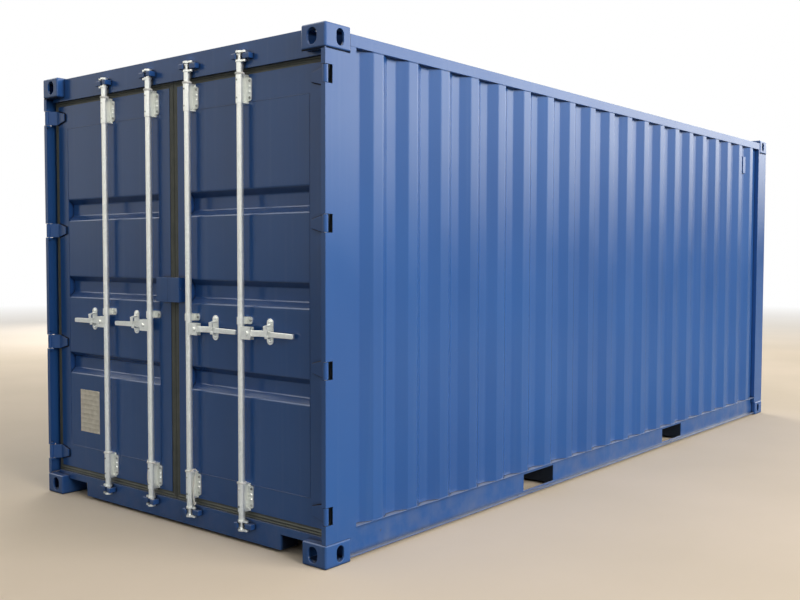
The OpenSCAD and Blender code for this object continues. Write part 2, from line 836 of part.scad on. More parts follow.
// Cam: two jaws that point to the hinge side, joined by a shank with an ear on the other side
module cam(z) {
    translate([rod_x, 0, z]) {
        translate([0, 0, -cam_h / 2]) cylinder(d = shank_d, h = cam_h);
        translate([0, 0, -cam_h / 2]) linear_extrude(cam_h) polygon(tongue(ear_d, collar_d / 2 - 1));
        for (s = [-1, 1]) translate([0, 0, s * (cam_h - cam_t) / 2 - cam_t / 2]) {
            cylinder(d = collar_d, h = cam_t);
            linear_extrude(cam_t) mirror([0, 1]) polygon(tongue(18, cam_reach));
        }
    }
}

// Hub: two cheeks welded to the rod, with the handle's bolt through them
module hub() {
    reach = handle_pivot + 27;
    gap = handle_t + 1;
    for (s = [-1, 1])
        translate([rod_x + s * (gap + cheek_t) / 2 - cheek_t / 2, -reach, handle_z - hub_h / 2])
            cube([cheek_t, reach, hub_h]);
    translate([rod_x, -handle_pivot, handle_z]) rotate([0, 90, 0])
        cylinder(d = bolt_d, h = gap + 2 * cheek_t + 8, center = true);
    translate([rod_x - gap / 2 - cheek_t - 3, -handle_pivot, handle_z]) rotate([0, 90, 0])
        cylinder(d = 2 * bolt_d - 2, h = 6, center = true);
}

// Locking rod with +Y turned away from the hinge side
module locking_rod(i) {
    color(steel) translate([0, rod_ys[i], 0]) mirror([0, rod_ys[i] > 0 ? 1 : 0, 0]) {
        translate([rod_x, 0, cam_bottom + cam_h - eps])
            cylinder(d = rod_d, h = cam_top - cam_bottom - 2 * cam_h + 2 * eps);
        cam(cam_top - cam_h / 2);
        cam(cam_bottom + cam_h / 2);
        hub();
    }
}

// Handle: bar on the hub's bolt, cranked towards the door, with a tapered grip
module rod_handle(i) {
    h = handle_h / 2;
    t = handle_t / 2;
    crank = grip_back - rod_x - t;
    y0 = -handle_pivot - 31;
    y1 = y0 - 2 * crank;
    y2 = -cradle_y - cradle_w / 2;
    color(steel) translate([rod_x, rod_ys[i], handle_z]) mirror([0, rod_ys[i] > 0 ? 1 : 0, 0]) difference() {
        intersection() {
            translate([0, 0, -h - 1]) linear_extrude(2 * h + 2) polygon([
                [-t, h - handle_pivot], [t, h - handle_pivot], [t, y0], [t + crank, y1], [t + crank, -handle_l],
                [crank - t, -handle_l], [crank - t, y1], [-t, y0]
            ]);
            translate([-t - 1, 0, 0]) rotate([90, 0, 90]) linear_extrude(crank + 2 * t + 2) {
                translate([-handle_pivot, 0]) circle(h);
                polygon([
                    [-handle_pivot, -h], [-handle_pivot, h], [y2 + 17, h], [y2, h - 4], [-handle_l + 4, grip_h - h],
                    [-handle_l, grip_h - h - 4], [-handle_l, 4 - h], [-handle_l + 4, -h]
                ]);
            }
        }
        translate([-t - 1, -handle_pivot, 0]) rotate([0, 90, 0]) cylinder(d = bolt_d + 2 * fit, h = handle_t + 2);
    }
}

// Cradle: long plate on the door with the jaw under the handle and the catch's rivet
module handle_cradle(y) {
    seat = handle_z - handle_h / 2 - 0.3;
    mid = handle_z + 11;
    jaw_w = cradle_w - 22;
    lip_x = grip_front - 1;
    rivet = catch_t + 0.6;
    translate([0, y, 0]) {
        translate([plate_x, 0, mid]) rotate([90, 0, 90]) linear_extrude(foot_t) {
            square([cradle_w, cradle_h - cradle_w], center = true);
            for (s = [-1, 1]) translate([0, s * (cradle_h - cradle_w) / 2]) circle(d = cradle_w);
        }
        translate([lip_x - 5, -jaw_w / 2, seat - 8]) cube([plate_x - lip_x + 6, jaw_w, 8]);
        translate([lip_x - 5, -jaw_w / 2, seat - 1]) cube([5, jaw_w, lip_h + 1]);
        translate([plate_x + 1, 0, handle_z + catch_z]) rotate([0, -90, 0]) {
            cylinder(d = catch_pin_d, h = rivet + 2);
            translate([0, 0, rivet + 1]) cylinder(d = catch_pin_d + 7, h = 4);
        }
    }
}

function cradle_ys(side) = [for (y = door_rods(side)) y + sign(y) * cradle_y];

module handle_cradles(side) {
    color(steel) for (y = cradle_ys(side)) handle_cradle(y);
}

// Catch: bent plate on the cradle's rivet, which reaches out over the handle and hangs before it
module handle_catch(i) {
    y = rod_ys[i] + sign(rod_ys[i]) * cradle_y;
    back = -0.3;
    face = back - catch_t;
    inner = grip_front - plate_x - 2 * clear + 0.5;
    low = -catch_z;
    color(steel) translate([plate_x, y, handle_z + catch_z]) difference() {
        intersection() {
            rotate([90, 0, 0]) translate([0, 0, -catch_r]) linear_extrude(2 * catch_r) polygon([
                [back, catch_r], [back, -16], [inner, -22], [inner, low],
                [inner - catch_t, low], [inner - catch_t, -19], [face, -11], [face, catch_r]
            ]);
            translate([inner - catch_t - 1, 0, 0]) rotate([90, 0, 90]) linear_extrude(catch_t + 2 - inner)
                polygon(concat([for (a = [0 : 15 : 180]) (catch_r - 1) * [cos(a), sin(a)]],
                    [[1 - catch_r, -26], [-8, low], [8, low], [catch_r - 1, -26]]));
        }
        translate([face - 1, 0, 0]) rotate([0, 90, 0]) cylinder(d = catch_pin_d + 2 * fit, h = catch_t + 2);
    }
}

// Lock box: open steel box over the inner rods' gap, in two halves with a padlock eye
module lock_box(side) {
    y0 = clear;
    l = box_l / 2 - y0;
    color(paint) on_side(side) translate([door_face - box_d, y0, box_z - box_h / 2]) {
        cube([box_t, l, box_h]);
        cube([box_d, l, box_t]);
        translate([0, 0, box_h - box_t]) cube([box_d, l, box_t]);
        if (side == "left") translate([0, l - box_t, 0]) cube([box_d, box_t, box_h]);
        translate([box_d / 2 - 6, box_t, box_t]) cube([12, 4, box_h - 2 * box_t]);
    }
}

module data_plate() {
    color("#9aa2a6") translate([door_face - 2, plate_y - plate_w / 2, plate_z - plate_h / 2]) cube([2, plate_w, plate_h]);
}

// Ropes: route points in millimetres from the container's origin
function mirrored(p) = [for (q = p) [q[0], -q[1], q[2]]];
rope_start = [
    [-2985, -149, 308], [-2985, -144.5, 308], [-2988, -141.5, 314], [-2997, -143.5, 321.5],
    [-3012.2, -149.4, 325], [-3021.9, -159.3, 326], [-3025.9, -172, 327], [-3021.9, -184.7, 328],
    [-3013.7, -192.8, 331], [-3004, -200, 337], [-2995, -206, 338], [-2989, -209.5, 330]
];
right_rope = concat(rope_start, [
    [-2989, -209, 318], [-2993, -206, 304], [-2998, -203.5, 286], [-3002, -202, 266], [-3004, -201, 244],
    [-3005, -200.5, 220], [-3004, -201.5, 196], [-3002, -203, 174], [-3000, -202, 156], [-2998, -198.5, 145],
    [-2993, -196, 141], [-2987, -195.5, 145], [-2985, -196, 154]
]);
left_rope = concat(mirrored(rope_start), [
    [-2991, 209, 318], [-2996, 207, 304], [-3001, 205, 286], [-3005, 204, 264], [-3007, 203.5, 242],
    [-3007, 203, 222], [-3005, 202.5, 204], [-3001, 202, 192], [-2995, 202, 188], [-2990, 202, 194]
]);

function unit(v) = v / norm(v);
function tangent(p, i) = unit(p[min(i + 1, len(p) - 1)] - p[max(i - 1, 0)]);
function ring(c, t, d, n) = let (a = unit(cross(t, [0.3, 1, 0.2])), b = cross(t, a))
    [for (k = [0 : n - 1]) c + d / 2 * (a * cos(360 * k / n) + b * sin(360 * k / n))];

module tube(points, d, n) {
    m = len(points);
    verts = [for (i = [0 : m - 1]) each ring(points[i], tangent(points, i), d, n)];
    sides = [for (i = [0 : m - 2], k = [0 : n - 1])
        [i * n + k, i * n + (k + 1) % n, (i + 1) * n + (k + 1) % n, (i + 1) * n + k]];
    ends = [[for (k = [n - 1 : -1 : 0]) k], [for (k = [0 : n - 1]) (m - 1) * n + k]];
    polyhedron(verts, concat(sides, ends));
}

module tie_rope(side) {
    color("white") tube(side == "right" ? right_rope : left_rope, rope_d, rope_sides);
}

bottom_corner_castings();
top_corner_castings();
rear_post("right");  // rear_post_right
rear_post("left");  // rear_post_left
front_post("right");  // front_post_right
front_post("left");  // front_post_left
door_header();
door_sill();
upper_cam_keepers();
lower_cam_keepers();
top_rail("right");  // top_rail_right
top_rail("left");  // top_rail_left
bottom_rail("right");  // bottom_rail_right
bottom_rail("left");  // bottom_rail_left
front_top_rail();
front_bottom_rail();
side_wall("right");  // side_wall_right
side_wall("left");  // side_wall_left
front_wall();
roof_panel();
roof_end_plates();
plywood_floor();
cross_members();
fork_pocket_plates();
side_ventilators();
hinge_pins("right");  // hinge_pins_right
hinge_pins("left");  // hinge_pins_left
door_frame("right");  // right_door_frame
door_panel("right");  // right_door_panel
door_seal("right");  // right_door_seal
hinge_blades("right");  // right_hinge_blades
rod_brackets("right");  // right_rod_brackets
handle_cradles("right");  // right_handle_cradles
lock_box("right");  // right_lock_box
door_frame("left");  // left_door_frame
door_panel("left");  // left_door_panel
door_seal("left");  // left_door_seal
hinge_blades("left");  // left_hinge_blades
rod_brackets("left");  // left_rod_brackets
handle_cradles("left");  // left_handle_cradles
lock_box("left");  // left_lock_box
data_plate();
locking_rod(0);  // locking_rod_1
locking_rod(1);  // locking_rod_2
locking_rod(2);  // locking_rod_3
locking_rod(3);  // locking_rod_4
rod_handle(0);  // rod_handle_1
rod_handle(1);  // rod_handle_2
rod_handle(2);  // rod_handle_3
rod_handle(3);  // rod_handle_4
handle_catch(0);  // handle_catch_1
handle_catch(1);  // handle_catch_2
handle_catch(2);  // handle_catch_3
handle_catch(3);  // handle_catch_4
tie_rope("right");  // tie_rope_right
tie_rope("left");  // tie_rope_left
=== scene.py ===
import bmesh
import bpy
import json
from math import cos, pi, radians, sin
from mathutils import Matrix, Vector
from random import Random

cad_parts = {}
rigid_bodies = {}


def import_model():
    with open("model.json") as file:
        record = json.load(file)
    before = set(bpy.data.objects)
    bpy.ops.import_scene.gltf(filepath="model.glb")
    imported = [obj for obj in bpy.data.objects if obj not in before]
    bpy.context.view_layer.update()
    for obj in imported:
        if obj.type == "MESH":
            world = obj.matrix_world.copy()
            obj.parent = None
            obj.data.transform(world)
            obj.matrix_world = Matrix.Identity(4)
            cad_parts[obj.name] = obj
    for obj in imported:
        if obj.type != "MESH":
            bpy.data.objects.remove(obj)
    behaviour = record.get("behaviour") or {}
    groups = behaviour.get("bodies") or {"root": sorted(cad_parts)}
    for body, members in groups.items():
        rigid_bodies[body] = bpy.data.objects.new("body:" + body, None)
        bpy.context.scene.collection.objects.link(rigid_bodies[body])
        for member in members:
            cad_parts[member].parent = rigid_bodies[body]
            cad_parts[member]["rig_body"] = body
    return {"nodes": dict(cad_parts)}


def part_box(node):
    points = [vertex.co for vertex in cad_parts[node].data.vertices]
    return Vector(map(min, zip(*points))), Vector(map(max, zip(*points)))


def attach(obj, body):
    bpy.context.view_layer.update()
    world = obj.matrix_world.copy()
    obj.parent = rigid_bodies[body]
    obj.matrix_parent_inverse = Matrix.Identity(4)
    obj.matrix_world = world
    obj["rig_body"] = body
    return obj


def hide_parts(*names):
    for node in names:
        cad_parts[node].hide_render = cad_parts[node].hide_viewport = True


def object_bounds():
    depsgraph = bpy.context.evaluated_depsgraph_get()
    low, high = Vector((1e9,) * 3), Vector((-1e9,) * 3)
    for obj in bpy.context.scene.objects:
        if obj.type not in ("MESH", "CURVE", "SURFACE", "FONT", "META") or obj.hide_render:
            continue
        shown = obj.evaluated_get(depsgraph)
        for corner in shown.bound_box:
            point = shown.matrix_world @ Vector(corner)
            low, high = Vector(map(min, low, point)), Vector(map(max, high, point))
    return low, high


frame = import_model()
cad_low, cad_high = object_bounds()
cad_nodes = frame["nodes"]


# Camera, where the photograph was taken from: at eye height above the yard, to the right of the
# doors. Its place, turn and lens were fitted to the eight corners of the container's outline.
def look_from(place, azimuth, elevation, roll, lens):
    """A camera at place, with azimuth 0 along +Y, and its lens in millimetres."""
    forward = Vector((
        sin(radians(azimuth)) * cos(radians(elevation)),
        cos(radians(azimuth)) * cos(radians(elevation)),
        sin(radians(elevation)),
    ))
    level = forward.cross(Vector((0, 0, 1))).normalized()
    upright = level.cross(forward)
    right = level * cos(radians(roll)) + upright * sin(radians(roll))
    turn = Matrix((right, right.cross(forward), -forward)).transposed()
    camera = bpy.data.objects.new("camera", bpy.data.cameras.new("camera"))
    camera.matrix_world = Matrix.Translation(place) @ turn.to_4x4()
    camera.data.lens = lens
    camera.data.sensor_width = 36
    camera.data.clip_end = 200
    bpy.context.scene.collection.objects.link(camera)
    bpy.context.scene.camera = camera


look_from((-6.2861, -4.3382, 1.5005), azimuth=50.686, elevation=-2.644, roll=0.145, lens=43.12)
bpy.context.scene.view_settings.view_transform = "Standard"


# Tie ropes. Two short white braided cords are tied round the inner locking rods, on the lower
# brackets, and hang down beside them with bare ends.
def srgb(code):
    """Linear colour of a hexadecimal one."""
    parts = [int(code[i:i + 2], 16) / 255 for i in (0, 2, 4)]
    return [p / 12.92 if p <= 0.04045 else ((p + 0.055) / 1.055) ** 2.4 for p in parts] + [1]


def add_node(tree, kind, joined=None, **settings):
    """A shader node with its settings, and its inputs joined to sockets or given values."""
    made = tree.nodes.new("ShaderNode" + kind)
    for name, value in settings.items():
        setattr(made, name, value)
    for key, value in (joined or {}).items():
        if isinstance(value, bpy.types.NodeSocket):
            tree.links.new(value, made.inputs[key])
        else:
            made.inputs[key].default_value = value
    return made


def new_finish(name):
    """An empty material, its tree, its Principled shader and its Object coordinates."""
    finish = bpy.data.materials.new(name)
    finish.use_nodes = True
    tree = finish.node_tree
    shader = tree.nodes["Principled BSDF"]
    place = add_node(tree, "TexCoord").outputs["Object"]
    return finish, tree, shader, place


def cloud(tree, place, scale, detail=4.0, stretch=(1, 1, 1)):
    """Noise from 0 to 1 with about scale patches to the metre, closer where stretch is over 1."""
    spread = add_node(tree, "Mapping", {"Vector": place, "Scale": stretch})
    fog = add_node(tree, "TexNoise", {"Vector": spread.outputs[0], "Scale": scale, "Detail": detail})
    return fog.outputs["Fac"]


def steps(tree, factor, low, high, out_low=0.0, out_high=1.0):
    """factor from low to high, taken to the span from out_low to out_high and held at its ends."""
    span = {"Value": factor, "From Min": low, "From Max": high, "To Min": out_low, "To Max": out_high}
    return add_node(tree, "MapRange", span).outputs[0]


def combined(tree, operation, first, second):
    """One number from two."""
    return add_node(tree, "Math", {0: first, 1: second}, operation=operation).outputs[0]


def blended(tree, factor, first, second):
    """Two colours mixed by factor."""
    mix = add_node(tree, "Mix", data_type="RGBA")
    for socket, value in ((mix.inputs[0], factor), (mix.inputs[6], first), (mix.inputs[7], second)):
        if isinstance(value, bpy.types.NodeSocket):
            tree.links.new(value, socket)
        else:
            socket.default_value = value
    return mix.outputs[2]


def bumped(tree, height, strength, distance, under=None):
    """Normal of a bump, over another one."""
    joined = {"Height": height, "Strength": strength, "Distance": distance}
    if under is not None:
        joined["Normal"] = under
    return add_node(tree, "Bump", joined).outputs[0]


def rope_finish():
    # Braided polyester, matt and white, with the strands' fine relief and a little yard dirt
    finish, tree, shader, place = new_finish("white_rope")
    strands = cloud(tree, place, 420, 2)
    darkening = steps(tree, cloud(tree, place, 25), 0.35, 0.75)
    shader.inputs["Roughness"].default_value = 0.85
    soiled = blended(tree, darkening, srgb("f4f2ec"), srgb("d8d3c6"))
    tree.links.new(soiled, shader.inputs["Base Color"])
    tree.links.new(bumped(tree, strands, 0.6, 0.001), shader.inputs["Normal"])
    return finish


white_rope = rope_finish()
rope_d = 0.007
# Routes of the CAD ropes in millimetres: round the bracket, the same for both, and down each tail
rope_start = [
    (-2985, -149, 308), (-2985, -144.5, 308), (-2988, -141.5, 314), (-2997, -143.5, 321.5),
    (-3012.2, -149.4, 325), (-3021.9, -159.3, 326), (-3025.9, -172, 327), (-3021.9, -184.7, 328),
    (-3013.7, -192.8, 331), (-3004, -200, 337), (-2995, -206, 338), (-2989, -209.5, 330),
]
right_tail = [
    (-2989, -209, 318), (-2993, -206, 304), (-2998, -203.5, 286), (-3002, -202, 266), (-3004, -201, 244),
    (-3005, -200.5, 220), (-3004, -201.5, 196), (-3002, -203, 174), (-3000, -202, 156),
    (-2998, -198.5, 145), (-2993, -196, 141), (-2987, -195.5, 145), (-2985, -196, 154),
]
left_tail = [
    (-2991, 209, 318), (-2996, 207, 304), (-3001, 205, 286), (-3005, 204, 264), (-3007, 203.5, 242),
    (-3007, 203, 222), (-3005, 202.5, 204), (-3001, 202, 192), (-2995, 202, 188), (-2990, 202, 194),
]


def thread(name, points, radius, finish, body, closed=False):
    """A round line of metal or fibre along points."""
    curve = bpy.data.curves.new(name, "CURVE")
    curve.dimensions = "3D"
    curve.bevel_depth = radius
    # A weld's bead is too thin for its sides to show, so it has fewer than a rope
    curve.bevel_resolution = 3 if radius > 0.003 else 1
    curve.use_fill_caps = not closed
    spline = curve.splines.new("POLY")
    spline.points.add(len(points) - 1)
    spline.use_cyclic_u = closed
    for spot, point in zip(spline.points, points):
        spot.co = (*point, 1)
    line = bpy.data.objects.new(name, curve)
    bpy.context.scene.collection.objects.link(line)
    curve.materials.append(finish)
    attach(line, body)
    return line


def tie_rope(side, route):
    """A rope along the route of its CAD solid, on its door."""
    points = [Vector(p) / 1000 for p in route]
    rope = thread("tie_rope_cord_" + side, points, rope_d / 2, white_rope, side + "_door")
    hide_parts("tie_rope_" + side)


tie_rope("right", rope_start + right_tail)
tie_rope("left", [(x, -y, z) for x, y, z in rope_start] + left_tail)


# Yard, backdrop and daylight. A pale level floor that fades into a bright open sky, with a
# broad soft lamp over the right side and a weaker one beyond the far corner, as on a thinly
# clouded day.
yard_half = 80
fade_from, fade_to = 9, 24


def seen_rays(tree, rays):
    """1 for what the camera sees, straight or through something clear."""
    return combined(tree, "MAXIMUM", rays.outputs["Is Camera Ray"], rays.outputs["Is Transmission Ray"])


def yard():
    # Dry pale concrete: matt, with broad faint patches. It lights the object as a grey one does,
    # and metal mirrors it cooler
    bm = bmesh.new()
    bmesh.ops.create_grid(bm, x_segments=1, y_segments=1, size=yard_half)
    mesh = bpy.data.meshes.new("yard_floor")
    bm.to_mesh(mesh)
    bm.free()
    floor = bpy.data.objects.new("yard_floor", mesh)
    bpy.context.scene.collection.objects.link(floor)
    finish, tree, shader, place = new_finish("pale_floor")
    patches = steps(tree, cloud(tree, place, 0.35, 6), 0.35, 0.65)
    pale = blended(tree, patches, srgb("e9d9c4"), srgb("ddceb8"))
    rays = add_node(tree, "LightPath")
    seen = seen_rays(tree, rays)
    pale = blended(tree, seen, srgb("94918b"), pale)
    pale = blended(tree, rays.outputs["Is Glossy Ray"], pale, srgb("b4bac2"))
    tree.links.new(pale, shader.inputs["Base Color"])
    shader.inputs["Roughness"].default_value = 0.9
    away = add_node(tree, "VectorMath", {0: place}, operation="LENGTH").outputs["Value"]
    fade = combined(tree, "MULTIPLY", steps(tree, away, fade_from, fade_to), seen)
    haze = add_node(tree, "Emission", {"Color": (1, 1, 1, 1), "Strength": 1.0})
    ground = add_node(tree, "MixShader", {0: fade, 1: shader.outputs[0], 2: haze.outputs[0]})
    tree.links.new(ground.outputs[0], tree.nodes["Material Output"].inputs[0])
    mesh.materials.append(finish)


def daylight():
    world = bpy.data.worlds.new("sky")
    bpy.context.scene.world = world
    world.use_nodes = True
    tree = world.node_tree
    direction = add_node(tree, "TexCoord").outputs["Generated"]
    parts = add_node(tree, "SeparateXYZ", {"Vector": direction})
    ahead, height = parts.outputs[0], parts.outputs[2]
    rays = add_node(tree, "LightPath")
    seen = seen_rays(tree, rays)
    # Gloss and metal mirror a sky of their own. Over the doors' side it is even, and towards the
    # front end a dark skyline stands below a bright haze, with plain sky above
    behind = steps(tree, ahead, -0.2, 0.5, 0.8, 0.28)
    beyond = steps(tree, ahead, 0.5, 0.97, 0.8, 0.0)
    skyline = combined(tree, "MINIMUM", behind, beyond)
    haze = steps(tree, ahead, -0.2, 0.6, 1.0, 4.6)
    mirrored = steps(tree, height, 0.01, 0.14, skyline, haze)
    high = steps(tree, ahead, -0.2, 0.6, 3.2, 1.8)
    mirrored = steps(tree, height, 0.27, 0.4, mirrored, high)
    # All else gets the sky's soft light, which is strongest from overhead
    soft = steps(tree, height, 0.0, 0.8, 0.06, 0.45)
    lighting = steps(tree, rays.outputs["Is Glossy Ray"], 0, 1, soft, mirrored)
    background = tree.nodes["Background"]
    tree.links.new(steps(tree, seen, 0, 1, lighting, 1.0), background.inputs["Strength"])
    tree.links.new(blended(tree, seen, srgb("faf9f4"), (1, 1, 1, 1)), background.inputs["Color"])


def soft_lamp(name, place, target, size, power, colour):
    """A broad lamp that metal and gloss don't mirror, so that it gives no hard glints."""
    lamp = bpy.data.lights.new(name, "AREA")
    lamp.shape = "RECTANGLE"
    lamp.size, lamp.size_y = size
    lamp.energy = power
    lamp.color = srgb(colour)[:3]
    holder = bpy.data.objects.new(name, lamp)
    holder.location = place
    holder.rotation_euler = (Vector(target) - Vector(place)).to_track_quat("-Z", "Y").to_euler()
    holder.visible_glossy = False
    bpy.context.scene.collection.objects.link(holder)


yard()
daylight()
soft_lamp("side_lamp", (-1.2, -14, 6.5), (-0.6, 0, 1.2), size=(14, 6), power=2420, colour="fffaf4")
soft_lamp("far_lamp", (9, 11, 4.5), (0, 0, 1.2), size=(8, 5), power=1300, colour="fbfcff")


# Corner castings. Eight hollow blocks of cast steel with lifting and lashing apertures, welded
# to the ends of posts and rails, and sprayed with the same blue enamel as the whole container.
def enamel(name, dust=0.10, waves=0.0, chips=False, hollow_shade=None, joints=True, weathered=False):
    # Sprayed acrylic enamel: smooth half gloss with a fine orange peel, faint run-off streaks,
    # dust on level ledges and on the lower parts a few chips down to the grey primer, with a
    # nearly black painted shade in joints, in hollows and on faces that look down. Where it is
    # weathered it is matt
    finish, tree, shader, place = new_finish(name)
    shade = steps(tree, cloud(tree, place, 0.7, 3), 0.3, 0.7)
    colour = blended(tree, shade, srgb("27518f"), srgb("2b5999"))
    streaks = steps(tree, cloud(tree, place, 1.0, 4, (24, 24, 0.5)), 0.55, 0.85, 0.0, 0.18)
    colour = blended(tree, streaks, colour, srgb("5877a6"))
    normal = add_node(tree, "NewGeometry").outputs["Normal"]
    up = add_node(tree, "SeparateXYZ", {"Vector": normal}).outputs[2]
    grain = steps(tree, cloud(tree, place, 6, 6), 0.2, 0.7, 0.45, 1.0)
    powder = combined(tree, "MULTIPLY", steps(tree, up, 0.6, 0.97, 0.0, dust * 2.2), grain)
    colour = blended(tree, powder, colour, srgb("b3b3ae"))
    low = add_node(tree, "SeparateXYZ", {"Vector": place}).outputs[2]
    splash = steps(tree, cloud(tree, place, 9, 6), 0.35, 0.7)
    mud = combined(tree, "MULTIPLY", steps(tree, low, 0.0, 0.35, dust * 0.8, 0.0), splash)
    colour = blended(tree, mud, colour, srgb("8f8d86"))
    if chips:
        spots = steps(tree, cloud(tree, place, 34, 6, (1, 1, 0.5)), 0.70, 0.715)
        areas = steps(tree, cloud(tree, place, 4, 2), 0.5, 0.58)
        colour = blended(tree, combined(tree, "MULTIPLY", spots, areas), colour, srgb("4b4f57"))
    # Painted shade: faces that look down are darkened towards a nearly black blue
    darkening = steps(tree, up, -0.8, -0.3, 0.6, 0.0)
    # Painted shade in the hollows that the given mask marks
    if hollow_shade:
        darkening = combined(tree, "MAXIMUM", darkening, hollow_shade(tree, place))
    # Painted shade in corners and joints, where nearby parts hide the surface
    if joints:
        near = add_node(tree, "AmbientOcclusion", {"Distance": 0.022}, samples=4).outputs["AO"]
        darkening = combined(tree, "MAXIMUM", darkening, steps(tree, near, 0.45, 0.86, 0.9, 0.0))
    # The nearly black colour of all the painted shade
    colour = blended(tree, darkening, colour, srgb("12161f"))
    tree.links.new(colour, shader.inputs["Base Color"])
    polish = (0.6, 0.75) if weathered else (0.2, 0.27)
    dulled = steps(tree, cloud(tree, place, 2.5, 4), 0.3, 0.7, *polish)
    tree.links.new(dulled, shader.inputs["Roughness"])
    if weathered:
        shader.inputs["Specular IOR Level"].default_value = 0.08
    peel = bumped(tree, cloud(tree, place, 240, 2), 0.05, 0.0012)
    if waves:
        peel = bumped(tree, cloud(tree, place, 2.2, 1, (1, 1, 0.6)), waves, 0.02, peel)
    tree.links.new(peel, shader.inputs["Normal"])
    return finish


casting_size = (0.178, 0.162, 0.118)
casting_round = 0.009
aperture_round = 0.0027
# Reach of the arc that a casting's upright corner has in the CAD, and slack in finding its edges
corner_arc = 0.0135
edge_slack = 0.0008


def moved(tree, place, origin):
    """Coordinates counted from another origin."""
    return add_node(tree, "VectorMath", {0: place, 1: origin}, operation="SUBTRACT").outputs[0]


def casting_inside(tree, place):
    """1 on the inner faces of the castings' cavities, where they get painted shade, and 0 outside."""
    middle = cad_high[2] / 2
    half = [size / 2 for size in casting_size]
    centre = [cad_high[0] - half[0], cad_high[1] - half[1], middle - half[2]]
    folded = moved(tree, place, (0, 0, middle))
    for point in (centre, half):
        folded = add_node(tree, "VectorMath", {0: folded}, operation="ABSOLUTE").outputs[0]
        folded = moved(tree, folded, point)
    depth = add_node(tree, "SeparateXYZ", {"Vector": folded})
    shallow = combined(tree, "MAXIMUM", depth.outputs[0], depth.outputs[1])
    shallow = combined(tree, "MAXIMUM", shallow, depth.outputs[2])
    return steps(tree, shallow, -0.03, -0.008, 0.9, 0.0)


# The castings' cavities are darkened as painted shade
blue_cast_enamel = enamel("blue_cast_enamel", hollow_shade=casting_inside)


def placed(name, bm, finish, body, slot, *replaced):
    """The object of a bmesh, riding on its body."""
    mesh = bpy.data.meshes.new(name)
    bm.to_mesh(mesh)
    bm.free()
    for face in mesh.polygons:
        face.use_smooth = True
    piece = bpy.data.objects.new(name, mesh)
    bpy.context.scene.collection.objects.link(piece)
    mesh.materials.append(finish)
    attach(piece, body)
    if replaced:
        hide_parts(*replaced)
    return piece


def flatten(piece):
    """Shades a piece's flat faces as flat, beside their rounded edges."""
    normals = piece.modifiers.new("flat_faces", "WEIGHTED_NORMAL")
    normals.mode = "FACE_AREA"
    normals.weight = 60
    normals.keep_sharp = False


def merged(node, reshape=None):
    """A copy of a CAD node's mesh, with its doubles merged and its flat faces whole."""
    bm = bmesh.new()
    bm.from_mesh(cad_nodes[node].data)
    bmesh.ops.remove_doubles(bm, verts=bm.verts, dist=0.00002)
    if reshape:
        for vertex in bm.verts:
            reshape(vertex.co)
    bmesh.ops.dissolve_limit(
        bm, angle_limit=radians(1), verts=bm.verts, edges=bm.edges, delimit={"NORMAL"}
    )
    return bm


def at_outer_edge(line):
    """Whether an edge is one of a casting's twelve outer ones, with the round corner's arc."""
    spot = (line.verts[0].co + line.verts[1].co) / 2
    middle = cad_high[2] / 2
    outer = (cad_high[0], cad_high[1], middle)
    place = (abs(spot.x), abs(spot.y), abs(spot.z - middle))
    planes = [
        min(abs(p - far), abs(p - far + size)) < edge_slack
        for p, far, size in zip(place, outer, casting_size)
    ]
    at_corner = place[0] > outer[0] - corner_arc and place[1] > outer[1] - corner_arc
    return sum(planes) >= 2 or (planes[2] and at_corner)


def corner_castings(node):
    """Castings with their outer edges cast very round, and their apertures' edges less so."""
    bm = merged(node)
    for radius, outer in ((aperture_round, False), (casting_round, True)):
        sharp = [
            line for line in bm.edges
            if line.is_manifold and line.calc_face_angle() > radians(30)
            and at_outer_edge(line) == outer
        ]
        bmesh.ops.bevel(
            bm, geom=sharp, offset=radius, segments=4, profile=0.5, affect="EDGES",
            clamp_overlap=False, material=-1,
        )
    # The round edges meet in corners that stay within the container's size
    for vertex in bm.verts:
        for axis in range(3):
            vertex.co[axis] = min(max(vertex.co[axis], -cad_high[axis]), cad_high[axis])
    flatten(placed(node + "_piece", bm, blue_cast_enamel, "frame_and_walls", "blue_paint", node))


for castings in ("bottom_corner_castings", "top_corner_castings"):
    corner_castings(castings)


# Posts and rails. Pressed and rolled steel sections, welded to the castings, with the corner
# posts at the doors carrying the hinge lugs.
post_step = 0.004


def sill_inside(tree, place):
    """1 behind the sill's front plate and under its top, where only the cut-outs show it and it gets
    painted shade.
    """
    parts = add_node(tree, "SeparateXYZ", {"Vector": place})
    behind = steps(tree, parts.outputs[0], -2.975, -2.962, 0.0, 0.9)
    return combined(tree, "MULTIPLY", behind, steps(tree, parts.outputs[2], 0.112, 0.122, 1.0, 0.0))


blue_enamel = enamel("blue_enamel")
# The sill's inside is darkened as painted shade
blue_sill_enamel = enamel("blue_sill_enamel", dust=0.16, chips=True, hollow_shade=sill_inside)
blue_base_enamel = enamel("blue_base_enamel", dust=0.3, chips=True)


def soften(piece, edge, segments=2, weighted=False):
    """Rounds a piece's sharp edges, or those that it gives a weight."""
    bevel = piece.modifiers.new("rounded_edges", "BEVEL")
    bevel.width = edge
    bevel.segments = segments
    bevel.limit_method = "WEIGHT" if weighted else "ANGLE"
    bevel.angle_limit = radians(30)
    flatten(piece)


def rounded(node, finish, slot, edge=0.0015, segments=2, reshape=None, weight=None):
    """A CAD node's piece with its edges rounded, in its place."""
    bm = merged(node, reshape)
    if weight:
        share = bm.edges.layers.float.new("bevel_weight_edge")
        for line in bm.edges:
            line[share] = weight((line.verts[0].co + line.verts[1].co) / 2)
    piece = placed(node + "_piece", bm, finish, cad_nodes[node]["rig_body"], slot, node)
    soften(piece, edge, segments, weight is not None)


def set_back(spot):
    """Brings a post's outer faces a step behind those of the castings, as their welds show."""
    if abs(spot.y) > cad_high[1] - 0.0002:
        spot.y -= post_step if spot.y > 0 else -post_step
    if abs(spot.x) > cad_high[0] - 0.0002:
        spot.x -= post_step if spot.x > 0 else -post_step


